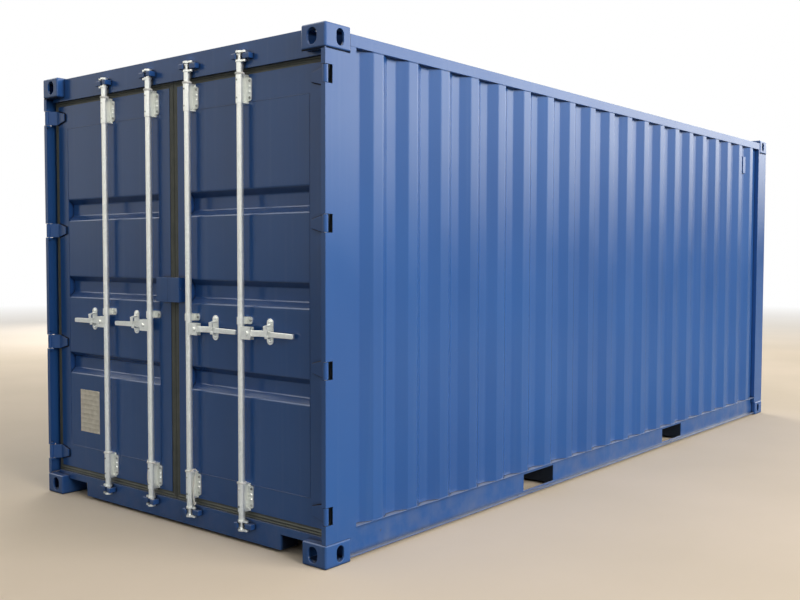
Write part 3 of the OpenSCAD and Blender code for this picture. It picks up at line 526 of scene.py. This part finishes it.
for post in ("rear_post_right", "rear_post_left", "front_post_right", "front_post_left"):
    rounded(post, blue_enamel, "blue_paint", edge=0.003, segments=3, reshape=set_back)
for rail in ("top_rail_right", "top_rail_left", "front_top_rail"):
    rounded(rail, blue_enamel, "blue_paint", edge=0.003, segments=3)
for rail in ("bottom_rail_right", "bottom_rail_left", "front_bottom_rail"):
    rounded(rail, blue_base_enamel, "blue_paint", edge=0.0018)
rounded("door_header", blue_enamel, "blue_paint", edge=0.003, segments=3)
rounded("door_sill", blue_sill_enamel, "blue_paint", edge=0.003, segments=3)


def block(bm, centre, size):
    """Adds a square block to a bmesh."""
    matrix = Matrix.Translation(centre) @ Matrix.Diagonal((*size, 1))
    bmesh.ops.create_cube(bm, matrix=matrix)


def closing_plates():
    """Plates that carry on the header's lower edge to the posts, under the castings."""
    bm = bmesh.new()
    for sign in (-1, 1):
        block(bm, (-2.975, sign * 1.1205, 2.462), (0.010, 0.131, 0.0215))
    plates = placed("header_closing_plates", bm, blue_enamel, "frame_and_walls", "blue_paint")
    soften(plates, 0.002)


closing_plates()


# Casting welds. A bead between each top casting and its post, in the step between them, rough,
# and nearly black as a painted shadow of that step.
# Plan of its run from the end face round the corner to the side face, at the post's top
casting_seam = [(3.025, 1.062), (3.025, 1.203), (3.021, 1.211), (3.013, 1.215), (2.856, 1.215)]
casting_seam_z = 2.471
weld_length = 0.045


def weld_bead(name, points, radius, body, closed=False, finish=None):
    """A painted weld along points, cut into short lengths that wander as a hand weld does."""
    chance = Random(name)
    route = []
    ends = points[1:] + points[:1] if closed else points[1:]
    for a, b in zip(points, ends):
        pieces = max(1, round((b - a).length / weld_length))
        route += [a.lerp(b, k / pieces) for k in range(pieces)]
    if not closed:
        route.append(points[-1])
    wander = [p + Vector([chance.uniform(-1, 1) for _ in range(3)]) * radius * 0.18 for p in route]
    thread(name, wander, radius, finish or blue_enamel, body, closed)


def shadow_line_finish():
    # Painted shadow on a rough weld: matt, nearly black, with the blue showing in places
    finish, tree, shader, place = new_finish("dirty_weld_enamel")
    worn = steps(tree, cloud(tree, place, 60, 4), 0.4, 0.7)
    tree.links.new(blended(tree, worn, srgb("0c0f15"), srgb("1d2c48")), shader.inputs["Base Color"])
    shader.inputs["Roughness"].default_value = 0.9
    shader.inputs["Specular IOR Level"].default_value = 0.15
    return finish


dirty_weld_enamel = shadow_line_finish()
for corner, (end, side) in enumerate(((-1, -1), (-1, 1), (1, -1), (1, 1)), 1):
    seam = [Vector((end * x, side * y, casting_seam_z)) for x, y in casting_seam]
    weld_bead("casting_weld_%d" % corner, seam, 0.003, "frame_and_walls", finish=dirty_weld_enamel)


# Side walls. Steel sheets of 2 mm pressed into trapezoid corrugations, butt welded to each
# other, and fillet welded along the foot and the top to the rails.
sheet_t = 0.002
sheet_bend = 0.006
side_face_y = 1.213
side_ends = (-2.809, 2.829)
side_pitch = 0.278
side_depth = 0.036
crest_half = 0.036
slope_run = 0.068
crest_count = 20
blue_wall_enamel = enamel("blue_wall_enamel", waves=0.08, joints=False)


def bent_sheet(outline, low, high, turn=None):
    """A sheet's middle face, from low to high, with a round bend at each point of its outline."""
    bm = bmesh.new()
    spots = [bm.verts.new((x, y, low)) for x, y in outline]
    for a, b in zip(spots, spots[1:]):
        bm.edges.new((a, b))
    bmesh.ops.bevel(
        bm, geom=spots[1:-1], offset=sheet_bend, segments=3, profile=0.5, affect="VERTICES",
        material=-1,
    )
    raised = bmesh.ops.extrude_edge_only(bm, edges=bm.edges[:])
    tops = [v for v in raised["geom"] if isinstance(v, bmesh.types.BMVert)]
    bmesh.ops.translate(bm, verts=tops, vec=(0, 0, high - low))
    if turn is not None:
        bmesh.ops.transform(bm, matrix=turn, verts=bm.verts)
    bmesh.ops.recalc_face_normals(bm, faces=bm.faces)
    return bm


def walled(piece):
    """Gives a sheet its thickness, half on each side of its middle face."""
    wall = piece.modifiers.new("wall_thickness", "SOLIDIFY")
    wall.thickness = sheet_t
    wall.offset = 0
    flatten(piece)


def side_outline(sign):
    """Plan of a side wall's middle line, from the doors to the front end."""
    outer = side_face_y - sheet_t / 2
    inner = outer - side_depth
    points = [(side_ends[0], sign * inner)]
    for k in range(crest_count):
        x = (k - (crest_count - 1) / 2) * side_pitch
        points += [
            (x - crest_half - slope_run, sign * inner), (x - crest_half, sign * outer),
            (x + crest_half, sign * outer), (x + crest_half + slope_run, sign * inner),
        ]
    return points + [(side_ends[1], sign * inner)]


for side, sign in (("right", -1), ("left", 1)):
    wall_low, wall_high = (corner[2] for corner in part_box("side_wall_" + side))
    outline = side_outline(sign)
    walled(placed(
        "side_wall_sheet_" + side, bent_sheet(outline, wall_low, wall_high), blue_wall_enamel,
        "frame_and_walls", "blue_paint", "side_wall_" + side,
    ))
    for part, z in (("foot", wall_low + 0.0015), ("top", wall_high - 0.0015)):
        seam = [Vector((x, y + sign * 0.001, z)) for x, y in outline]
        weld_bead("side_wall_%s_weld_%s" % (part, side), seam, 0.0025, "frame_and_walls")


# Front wall. The same steel sheet pressed into deeper and wider corrugations, welded in between
# the front posts and rails.
rounded("front_wall", blue_wall_enamel, "blue_paint", edge=0.0008, segments=1)


# Roof. One welded skin of pressed sheets with shallow cross troughs, and a thicker plate at
# each end between the castings. The sun has bleached its enamel, which is matt and carries dust.
trough_pitch = 0.209
sheet_troughs = 5
blue_roof_enamel = enamel("blue_roof_enamel", dust=0.16, joints=False, weathered=True)
rounded("roof_panel", blue_roof_enamel, "blue_paint", edge=0.0008, segments=1)
rounded("roof_end_plates", blue_roof_enamel, "blue_paint", edge=0.0015)
roof_half_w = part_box("roof_panel")[1][1] - 0.02
roof_skin_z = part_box("roof_panel")[1][2]
for k in range(4):
    x = (k - 1.5) * sheet_troughs * trough_pitch + trough_pitch / 2
    seam = [Vector((x, -roof_half_w, roof_skin_z)), Vector((x, roof_half_w, roof_skin_z))]
    weld_bead("roof_weld_%d" % (k + 1), seam, 0.0022, "frame_and_walls")


# Ventilators. A small pressed hood on each side wall, at opposite ends, fixed over holes in the
# sheet with its mouth downwards.
rounded("side_ventilators", blue_enamel, "blue_paint", edge=0.003, segments=3)


# Base. Pressed channels across the rails carry the floor and the plates of the fork pockets,
# and the whole underside is sprayed with a dark waxy coat over the paint.
def underseal():
    # Bitumen wax: nearly black with a blue cast, uneven and satin, with pale dried mud in places
    finish, tree, shader, place = new_finish("bitumen_underseal")
    mud = steps(tree, cloud(tree, place, 7, 6), 0.5, 0.78, 0.0, 0.5)
    tree.links.new(blended(tree, mud, srgb("1d2430"), srgb("4d4a45")), shader.inputs["Base Color"])
    shader.inputs["Roughness"].default_value = 0.55
    tree.links.new(bumped(tree, cloud(tree, place, 60, 5), 0.3, 0.003), shader.inputs["Normal"])
    return finish


bitumen_underseal = underseal()
rounded("cross_members", bitumen_underseal, "blue_paint", edge=0.0015, segments=1)
rounded("fork_pocket_plates", bitumen_underseal, "blue_paint", edge=0.001, segments=1)


# Floor. Hardwood plywood boards of 28 mm, varnished red brown, laid edge to edge in two rows
# and screwed down to the cross members.
def plywood():
    # Varnished hardwood veneer: long brown grain along the container, worn paler by loading
    finish, tree, shader, place = new_finish("varnished_plywood")
    grain = cloud(tree, place, 4, 8, (0.6, 14, 14))
    colour = blended(tree, steps(tree, grain, 0.3, 0.7), srgb("8a5b3a"), srgb("6b4228"))
    worn = steps(tree, cloud(tree, place, 1.5, 6), 0.5, 0.75, 0.0, 0.6)
    tree.links.new(blended(tree, worn, colour, srgb("93765a")), shader.inputs["Base Color"])
    tree.links.new(steps(tree, grain, 0.3, 0.7, 0.45, 0.6), shader.inputs["Roughness"])
    tree.links.new(bumped(tree, grain, 0.2, 0.001), shader.inputs["Normal"])
    return finish


def floor_boards(rows, joint):
    """Boards over the CAD floor's whole field, parted by joints."""
    low, high = (Vector(corner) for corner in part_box("plywood_floor"))
    bm = bmesh.new()
    length = (high.x - low.x) / rows
    size = (length - joint, high.y - joint, high.z - low.z)
    for row in range(rows):
        for half in (-1, 1):
            block(bm, (low.x + (row + 0.5) * length, half * high.y / 2, (low.z + high.z) / 2), size)
    return bm


boards = placed(
    "floor_boards", floor_boards(rows=5, joint=0.003), plywood(), "frame_and_walls",
    "floor_plywood", "plywood_floor",
)
soften(boards, 0.0015)


# Doors. Each leaf is a frame of square tube with a pressed panel welded in, whose three level
# bands are set back, so that they catch the light below and lie in shade above.
door_face = -2.963
panel_low, panel_high = 0.311, 2.281
panel_inner, panel_outer = 0.135, 1.05
band_heights = (0.831, 1.304, 1.777)
band_floor_half, band_mouth_half = 0.034, 0.066


def door_panel(side, sign):
    """The leaf's panel, bent like the walls, with its run turned to the height."""
    face = door_face + sheet_t / 2
    points = [(panel_low, face)]
    for z in band_heights:
        points += [
            (z - band_mouth_half, face), (z - band_floor_half, face + side_depth),
            (z + band_floor_half, face + side_depth), (z + band_mouth_half, face),
        ]
    points += [(panel_high, face)]
    turn = Matrix(((0, 1, 0, 0), (0, 0, sign, 0), (1, 0, 0, 0), (0, 0, 0, 1)))
    walled(placed(
        "door_panel_sheet_" + side, bent_sheet(points, panel_inner, panel_outer, turn),
        blue_wall_enamel, side + "_door", "blue_paint", side + "_door_panel",
    ))
    corners = [
        (panel_inner, panel_low), (panel_outer, panel_low),
        (panel_outer, panel_high), (panel_inner, panel_high),
    ]
    seam = [Vector((door_face - 0.0002, sign * y, z)) for y, z in corners]
    weld_bead("door_panel_weld_" + side, seam, 0.0016, side + "_door", closed=True)


for side, sign in (("right", -1), ("left", 1)):
    door_panel(side, sign)
    rounded(side + "_door_frame", blue_enamel, "blue_paint", edge=0.004, segments=3)


# Hinge blades and lock box. Forged blades are welded across each leaf's outer edge, and a box
# of steel plate in two halves guards the gap between the leaves.
hinge_heights = (0.255, 0.954, 1.653, 2.352)
blade_edge = [(1.148, 0.0405), (1.071, 0.0215), (1.071, -0.0215), (1.148, -0.0405)]
cad_box_gap_half, box_gap_half = 0.005, 0.0008
cad_box_end, box_end = 0.125, 0.1
box_end_t = 0.004


def close_halves(spot):
    """Brings the lock box's halves together and its ends in, as far as the leaves' swing allows."""
    side = 1 if spot.y > 0 else -1
    if abs(spot.y) < cad_box_gap_half + 0.0002:
        spot.y = side * box_gap_half
    elif abs(spot.y) > cad_box_end - 0.007:
        spot.y -= side * (cad_box_end - box_end)


def box_weight(spot):
    """0 along the gap between the lock box's halves, which stays crisp, and 1 elsewhere."""
    return 0.0 if abs(spot.y) < 0.002 else 1.0


def turned(outline, centre, sides, closed=False):
    """A round solid about an upright axis through centre, from an outline of radius and height."""
    bm = bmesh.new()
    dots = [bm.verts.new((centre[0] + radius, centre[1], height)) for radius, height in outline]
    ends = dots[1:] + dots[:1] if closed else dots[1:]
    lines = [bm.edges.new(pair) for pair in zip(dots, ends)]
    bmesh.ops.spin(
        bm, geom=dots + lines, cent=(*centre, 0), axis=(0, 0, 1), dvec=(0, 0, 0), angle=2 * pi,
        steps=sides, use_merge=True, use_normal_flip=False, use_duplicate=False,
    )
    bmesh.ops.remove_doubles(bm, verts=bm.verts, dist=0.00001)
    bmesh.ops.recalc_face_normals(bm, faces=bm.faces)
    return bm


def heads(name, spots, outline, sides, finish, body, slot, facing="back"):
    """Fastener heads at the spots, which face back from the doors or out to the right."""
    quarter, axis = {"back": (-90, "Y"), "right": (90, "X")}[facing]
    turn = Matrix.Rotation(radians(quarter), 4, axis)
    one = turned(outline, (0, 0), sides)
    shape = bpy.data.meshes.new(name + "_shape")
    one.to_mesh(shape)
    one.free()
    bm = bmesh.new()
    for spot in spots:
        before = len(bm.verts)
        bm.from_mesh(shape)
        bm.verts.ensure_lookup_table()
        bmesh.ops.transform(bm, matrix=Matrix.Translation(spot) @ turn, verts=bm.verts[before:])
    bpy.data.meshes.remove(shape)
    piece = placed(name, bm, finish, body, slot)
    # A head with few sides is a bolt's, and its flats show
    if sides < 8:
        for face in piece.data.polygons:
            face.use_smooth = False


def button(radius, height):
    """Outline of a round rivet head, from its centre below to its centre on top."""
    return [
        (0, -0.001), (radius, -0.001), (radius, height * 0.35), (radius * 0.8, height * 0.8),
        (radius * 0.4, height), (0, height),
    ]


def box_side():
    """The box's right end plate, set in and riveted."""
    bm = bmesh.new()
    low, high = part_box("right_lock_box")
    middle_x, middle_z = (low[0] + high[0]) / 2, (low[2] + high[2]) / 2
    size = (high[0] - low[0] - 0.001, box_end_t, high[2] - low[2] - 0.001)
    block(bm, (middle_x, box_end_t / 2 - box_end, middle_z), size)
    soften(placed("lock_box_end", bm, blue_enamel, "right_door", "blue_paint"), 0.001)
    spots = [(middle_x + dx, -box_end, middle_z + dz) for dx, dz in ((-0.012, 0.004), (0.012, -0.006))]
    rivet = button(0.006, 0.004)
    heads("lock_box_rivets", spots, rivet, 12, blue_enamel, "right_door", "blue_paint", "right")


box_side()
for side, sign in (("right", -1), ("left", 1)):
    rounded(side + "_hinge_blades", blue_enamel, "blue_paint", edge=0.004, segments=3)
    rounded(
        side + "_lock_box", blue_enamel, "blue_paint", edge=0.0015, reshape=close_halves,
        weight=box_weight,
    )
    for k, z in enumerate(hinge_heights, 1):
        seam = [Vector((door_face, sign * y, z + dz)) for y, dz in blade_edge]
        name = "hinge_blade_weld_%s_%d" % (side, k)
        # A nearly black bead, a painted shadow along the blade's edge
        weld_bead(name, seam, 0.0055, side + "_door", finish=dirty_weld_enamel)


# Cam keepers. Hooked and plain forged lugs in pairs, welded to the header and the sill at each
# rod, for its cams to bear against.
for keepers in ("upper_cam_keepers", "lower_cam_keepers"):
    rounded(keepers, blue_enamel, "blue_paint", edge=0.003, segments=3)


# Door seals. Extruded rubber with a broad front lip and a rear lip, fixed all round each
# leaf's edge, so that it fills the gap to the posts, header, sill and the other leaf.
def rubber():
    # EPDM rubber: nearly black with an olive cast, matt, greyed by dust
    finish, tree, shader, place = new_finish("seal_rubber")
    dusty = steps(tree, cloud(tree, place, 14, 6), 0.35, 0.75, 0.0, 0.6)
    tree.links.new(blended(tree, dusty, srgb("3a3d37"), srgb("55564c")), shader.inputs["Base Color"])
    shader.inputs["Roughness"].default_value = 0.6
    tree.links.new(bumped(tree, cloud(tree, place, 120, 3), 0.15, 0.001), shader.inputs["Normal"])
    return finish


seal_rubber = rubber()
leaf_inner, leaf_outer = 0.035, 1.15
leaf_low, leaf_high = 0.171, 2.421
lip_reach = {"inner": 0.0335, "outer": 0.034, "low": 0.0345, "high": 0.0295}
# Section of the seal: share of the gap that it spans, and its place along x in millimetres
seal_section = [
    (0.0, -2929), (0.45, -2933), (0.8, -2929), (0.82, -2933), (0.55, -2941), (0.6, -2950),
    (1.0, -2957), (0.98, -2961.5), (0.74, -2958), (0.52, -2961.5), (0.3, -2958), (0.0, -2961.5),
]


def door_seal(side, sign):
    """The section drawn round the leaf's edge, mitred at its corners."""
    bm = bmesh.new()
    corners = [("inner", "low"), ("outer", "low"), ("outer", "high"), ("inner", "high")]
    rings = []
    for across, level in corners:
        y = leaf_inner if across == "inner" else leaf_outer
        z = leaf_low if level == "low" else leaf_high
        ring = []
        for share, x in seal_section:
            dy = lip_reach[across] * share * (-1 if across == "inner" else 1)
            dz = lip_reach[level] * share * (-1 if level == "low" else 1)
            ring.append(bm.verts.new((x / 1000, sign * (y + dy), z + dz)))
        rings.append([bm.edges.new(pair) for pair in zip(ring, ring[1:] + ring[:1])])
    for one, following in zip(rings, rings[1:] + rings[:1]):
        bmesh.ops.bridge_loops(bm, edges=one + following)
    bmesh.ops.recalc_face_normals(bm, faces=bm.faces)
    strip, body = side + "_seal_strip", side + "_door"
    soften(placed(strip, bm, seal_rubber, body, "black_rubber", side + "_door_seal"), 0.0012)


for side, sign in (("right", -1), ("left", 1)):
    door_seal(side, sign)


# Locking gear. Forged cams, brackets, hubs and handles and drawn tube, all hot dip galvanised,
# with the zinc gone dull and chalky, and bolted through the leaves.
rod_x = -3.004
rod_ys = (0.595, 0.172, -0.172, -0.595)
sleeve_zs = (0.2475, 2.3445)
cad_sleeve_r, sleeve_slimming = 0.023, 0.913
# Where a sleeve's cheeks meet the bracket's plate, and how far they draw in there
neck_x, neck_narrowing = -2.969, 0.3
guide_z = 1.166
cradle_rivet_z = 1.065
cradle_ys = [y + (0.178 if y > 0 else -0.178) for y in rod_ys]
foot_x = door_face - 0.006
sleeve_bolt_x = rod_x - 0.0205


def slim_sleeve(spot):
    """Draws a bracket's sleeve close round the rod, with a narrow neck down to its plate."""
    y = min(rod_ys, key=lambda rod: abs(rod - spot.y))
    across = Vector((spot.x - rod_x, spot.y - y))
    if abs(across.length - cad_sleeve_r) < 0.0006 and across.x < 0.001:
        spot.x = rod_x + across.x * sleeve_slimming
        spot.y = y + across.y * sleeve_slimming
    elif abs(abs(across.y) - cad_sleeve_r) < 0.0003 and abs(spot.x - neck_x) < 0.0005:
        spot.y = y + across.y * neck_narrowing


def zinc(name, pale, dark):
    # Hot dip zinc: silvery white and finely mottled, half dull, with soft highlights
    finish, tree, shader, place = new_finish(name)
    flakes = add_node(tree, "TexVoronoi", {"Vector": place, "Scale": 90}).outputs["Color"]
    flake = add_node(tree, "SeparateColor", {"Color": flakes}).outputs[0]
    colour = blended(tree, flake, srgb(dark), srgb(pale))
    chalk = steps(tree, cloud(tree, place, 9, 5), 0.4, 0.75)
    colour = blended(tree, chalk, colour, srgb("f0f0ea"))
    tree.links.new(colour, shader.inputs["Base Color"])
    shader.inputs["Metallic"].default_value = 0.7
    tree.links.new(steps(tree, flake, 0, 1, 0.34, 0.46), shader.inputs["Roughness"])
    tree.links.new(bumped(tree, cloud(tree, place, 150, 3), 0.12, 0.001), shader.inputs["Normal"])
    return finish


galvanised_zinc = zinc("galvanised_zinc", "f6f8f4", "eaede9")
bolt_zinc = zinc("bolt_zinc", "6d706f", "565958")


def nut(radius, height):
    """Outline of a washer with a bolt's head on it."""
    return [
        (0, -0.001), (radius * 1.35, -0.001), (radius * 1.35, height * 0.25),
        (radius, height * 0.25), (radius, height * 0.92), (radius * 0.85, height), (0, height),
    ]


def beside(x, ys, zs, across, above):
    """Spots at x, by each y and each z, at all pairs of the offsets across and above."""
    return [(x, y + dy, z + dz) for y in ys for z in zs for dy in across for dz in above]


for side, sign in (("right", -1), ("left", 1)):
    rounded(
        side + "_rod_brackets", galvanised_zinc, "galvanised_steel", edge=0.0015,
        reshape=slim_sleeve,
    )
    rounded(side + "_handle_cradles", galvanised_zinc, "galvanised_steel", edge=0.0015)
    rounded("hinge_pins_" + side, galvanised_zinc, "galvanised_steel", edge=0.001)
    rods = [y for y in rod_ys if y * sign > 0]
    cradles = [y for y in cradle_ys if y * sign > 0]
    plate_corners = beside(foot_x, rods, sleeve_zs, (-0.035, 0.035), (-0.043, 0.043))
    clamps = beside(sleeve_bolt_x, rods, sleeve_zs, (0,), (-0.045, 0.045))
    middles = beside(foot_x, rods, sleeve_zs, (-0.034, 0.034), (-0.013, 0.013))
    guides = beside(foot_x, rods, (guide_z,), (-0.035, 0.035), (0,))
    lower_ends = beside(foot_x, cradles, (cradle_rivet_z,), (0,), (0,))
    bolt = nut(0.0055, 0.005)
    for fastener, spots, outline, sides, finish in (
        ("bracket_bolts", plate_corners, bolt, 6, bolt_zinc),
        ("sleeve_bolts", clamps, button(0.0055, 0.003), 10, bolt_zinc),
        ("bracket_rivets", middles, button(0.008, 0.005), 12, galvanised_zinc),
        ("guide_bolts", guides, bolt, 6, bolt_zinc),
        ("cradle_rivets", lower_ends, button(0.008, 0.006), 12, galvanised_zinc),
    ):
        name = side + "_" + fastener
        heads(name, spots, outline, sides, finish, side + "_door", "galvanised_steel")


def bush_finish():
    # Moulded nylon: plain white, a little glossy, greyed with grease
    finish, tree, shader, place = new_finish("white_nylon")
    grease = steps(tree, cloud(tree, place, 40, 4), 0.45, 0.75, 0.0, 0.5)
    tree.links.new(blended(tree, grease, srgb("f4f4f0"), srgb("c9c8c0")), shader.inputs["Base Color"])
    shader.inputs["Roughness"].default_value = 0.45
    return finish


white_nylon = bush_finish()
bush_bore, bush_rim, bush_belly = 0.0172, 0.0245, 0.0255
bush_spans = (("lower", 0.3205, 0.331), ("upper", 2.4175, 2.428))


def rod_bush(name, y, low, high, body):
    """A flanged bush that the rod turns in, at one end of a sleeve."""
    outline = [
        (bush_bore, low), (bush_rim, low), (bush_belly, (low + high) / 2), (bush_rim, high),
        (bush_bore, high),
    ]
    bm = turned(outline, (rod_x, y), 32, closed=True)
    soften(placed(name, bm, white_nylon, body, "galvanised_steel"), 0.001)


for i, y in enumerate(rod_ys, 1):
    rounded("locking_rod_%d" % i, galvanised_zinc, "galvanised_steel", edge=0.0025, segments=3)
    rounded("rod_handle_%d" % i, galvanised_zinc, "galvanised_steel", edge=0.004, segments=3)
    rounded("handle_catch_%d" % i, galvanised_zinc, "galvanised_steel", edge=0.0012)
    leaf = "left_door" if y > 0 else "right_door"
    for end, low, high in bush_spans:
        rod_bush("%s_bush_%d" % (end, i), y, low, high, leaf)


# Data plate. A thin aluminium plate with pressed fields, all blank, riveted by its corners to
# the left door.
def plate_metal():
    # Mill finished aluminium: grey and a little dull, with light tarnish
    finish, tree, shader, place = new_finish("plate_aluminium")
    tarnish = steps(tree, cloud(tree, place, 30, 5), 0.3, 0.7)
    tree.links.new(blended(tree, tarnish, srgb("d8d0bf"), srgb("c4bba8")), shader.inputs["Base Color"])
    shader.inputs["Metallic"].default_value = 0.5
    shader.inputs["Roughness"].default_value = 0.45
    return finish


plate_t = 0.0012
plate_edge = 0.008
plate_low, plate_high = (Vector(corner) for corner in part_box("data_plate"))


def ruled_plate():
    """Plate whose fields are pressed in a little between raised lines."""
    bm = bmesh.new()
    middle = (plate_low + plate_high) / 2
    size = plate_high - plate_low
    turn = Matrix((
        (0, 0, -1, plate_low.x), (-1, 0, 0, middle.y), (0, 1, 0, middle.z), (0, 0, 0, 1),
    ))
    spread = turn @ Matrix.Diagonal((size.y, size.z, 1, 1))
    bmesh.ops.create_grid(bm, x_segments=3, y_segments=9, size=0.5, matrix=spread)
    bmesh.ops.inset_individual(bm, faces=bm.faces[:], thickness=0.0016, depth=-0.0003)
    return bm


plate_aluminium = plate_metal()
plate = placed(
    "ruled_data_plate", ruled_plate(), plate_aluminium, "left_door", "plate_metal", "data_plate"
)
plate_wall = plate.modifiers.new("plate_thickness", "SOLIDIFY")
plate_wall.thickness = plate_t
plate_wall.offset = -1
plate_spots = [
    (plate_low.x, y, z)
    for y in (plate_low.y + plate_edge, plate_high.y - plate_edge)
    for z in (plate_low.z + plate_edge, plate_high.z - plate_edge)
]
rivet = button(0.004, 0.0025)
heads("plate_rivets", plate_spots, rivet, 10, plate_aluminium, "left_door", "plate_metal")
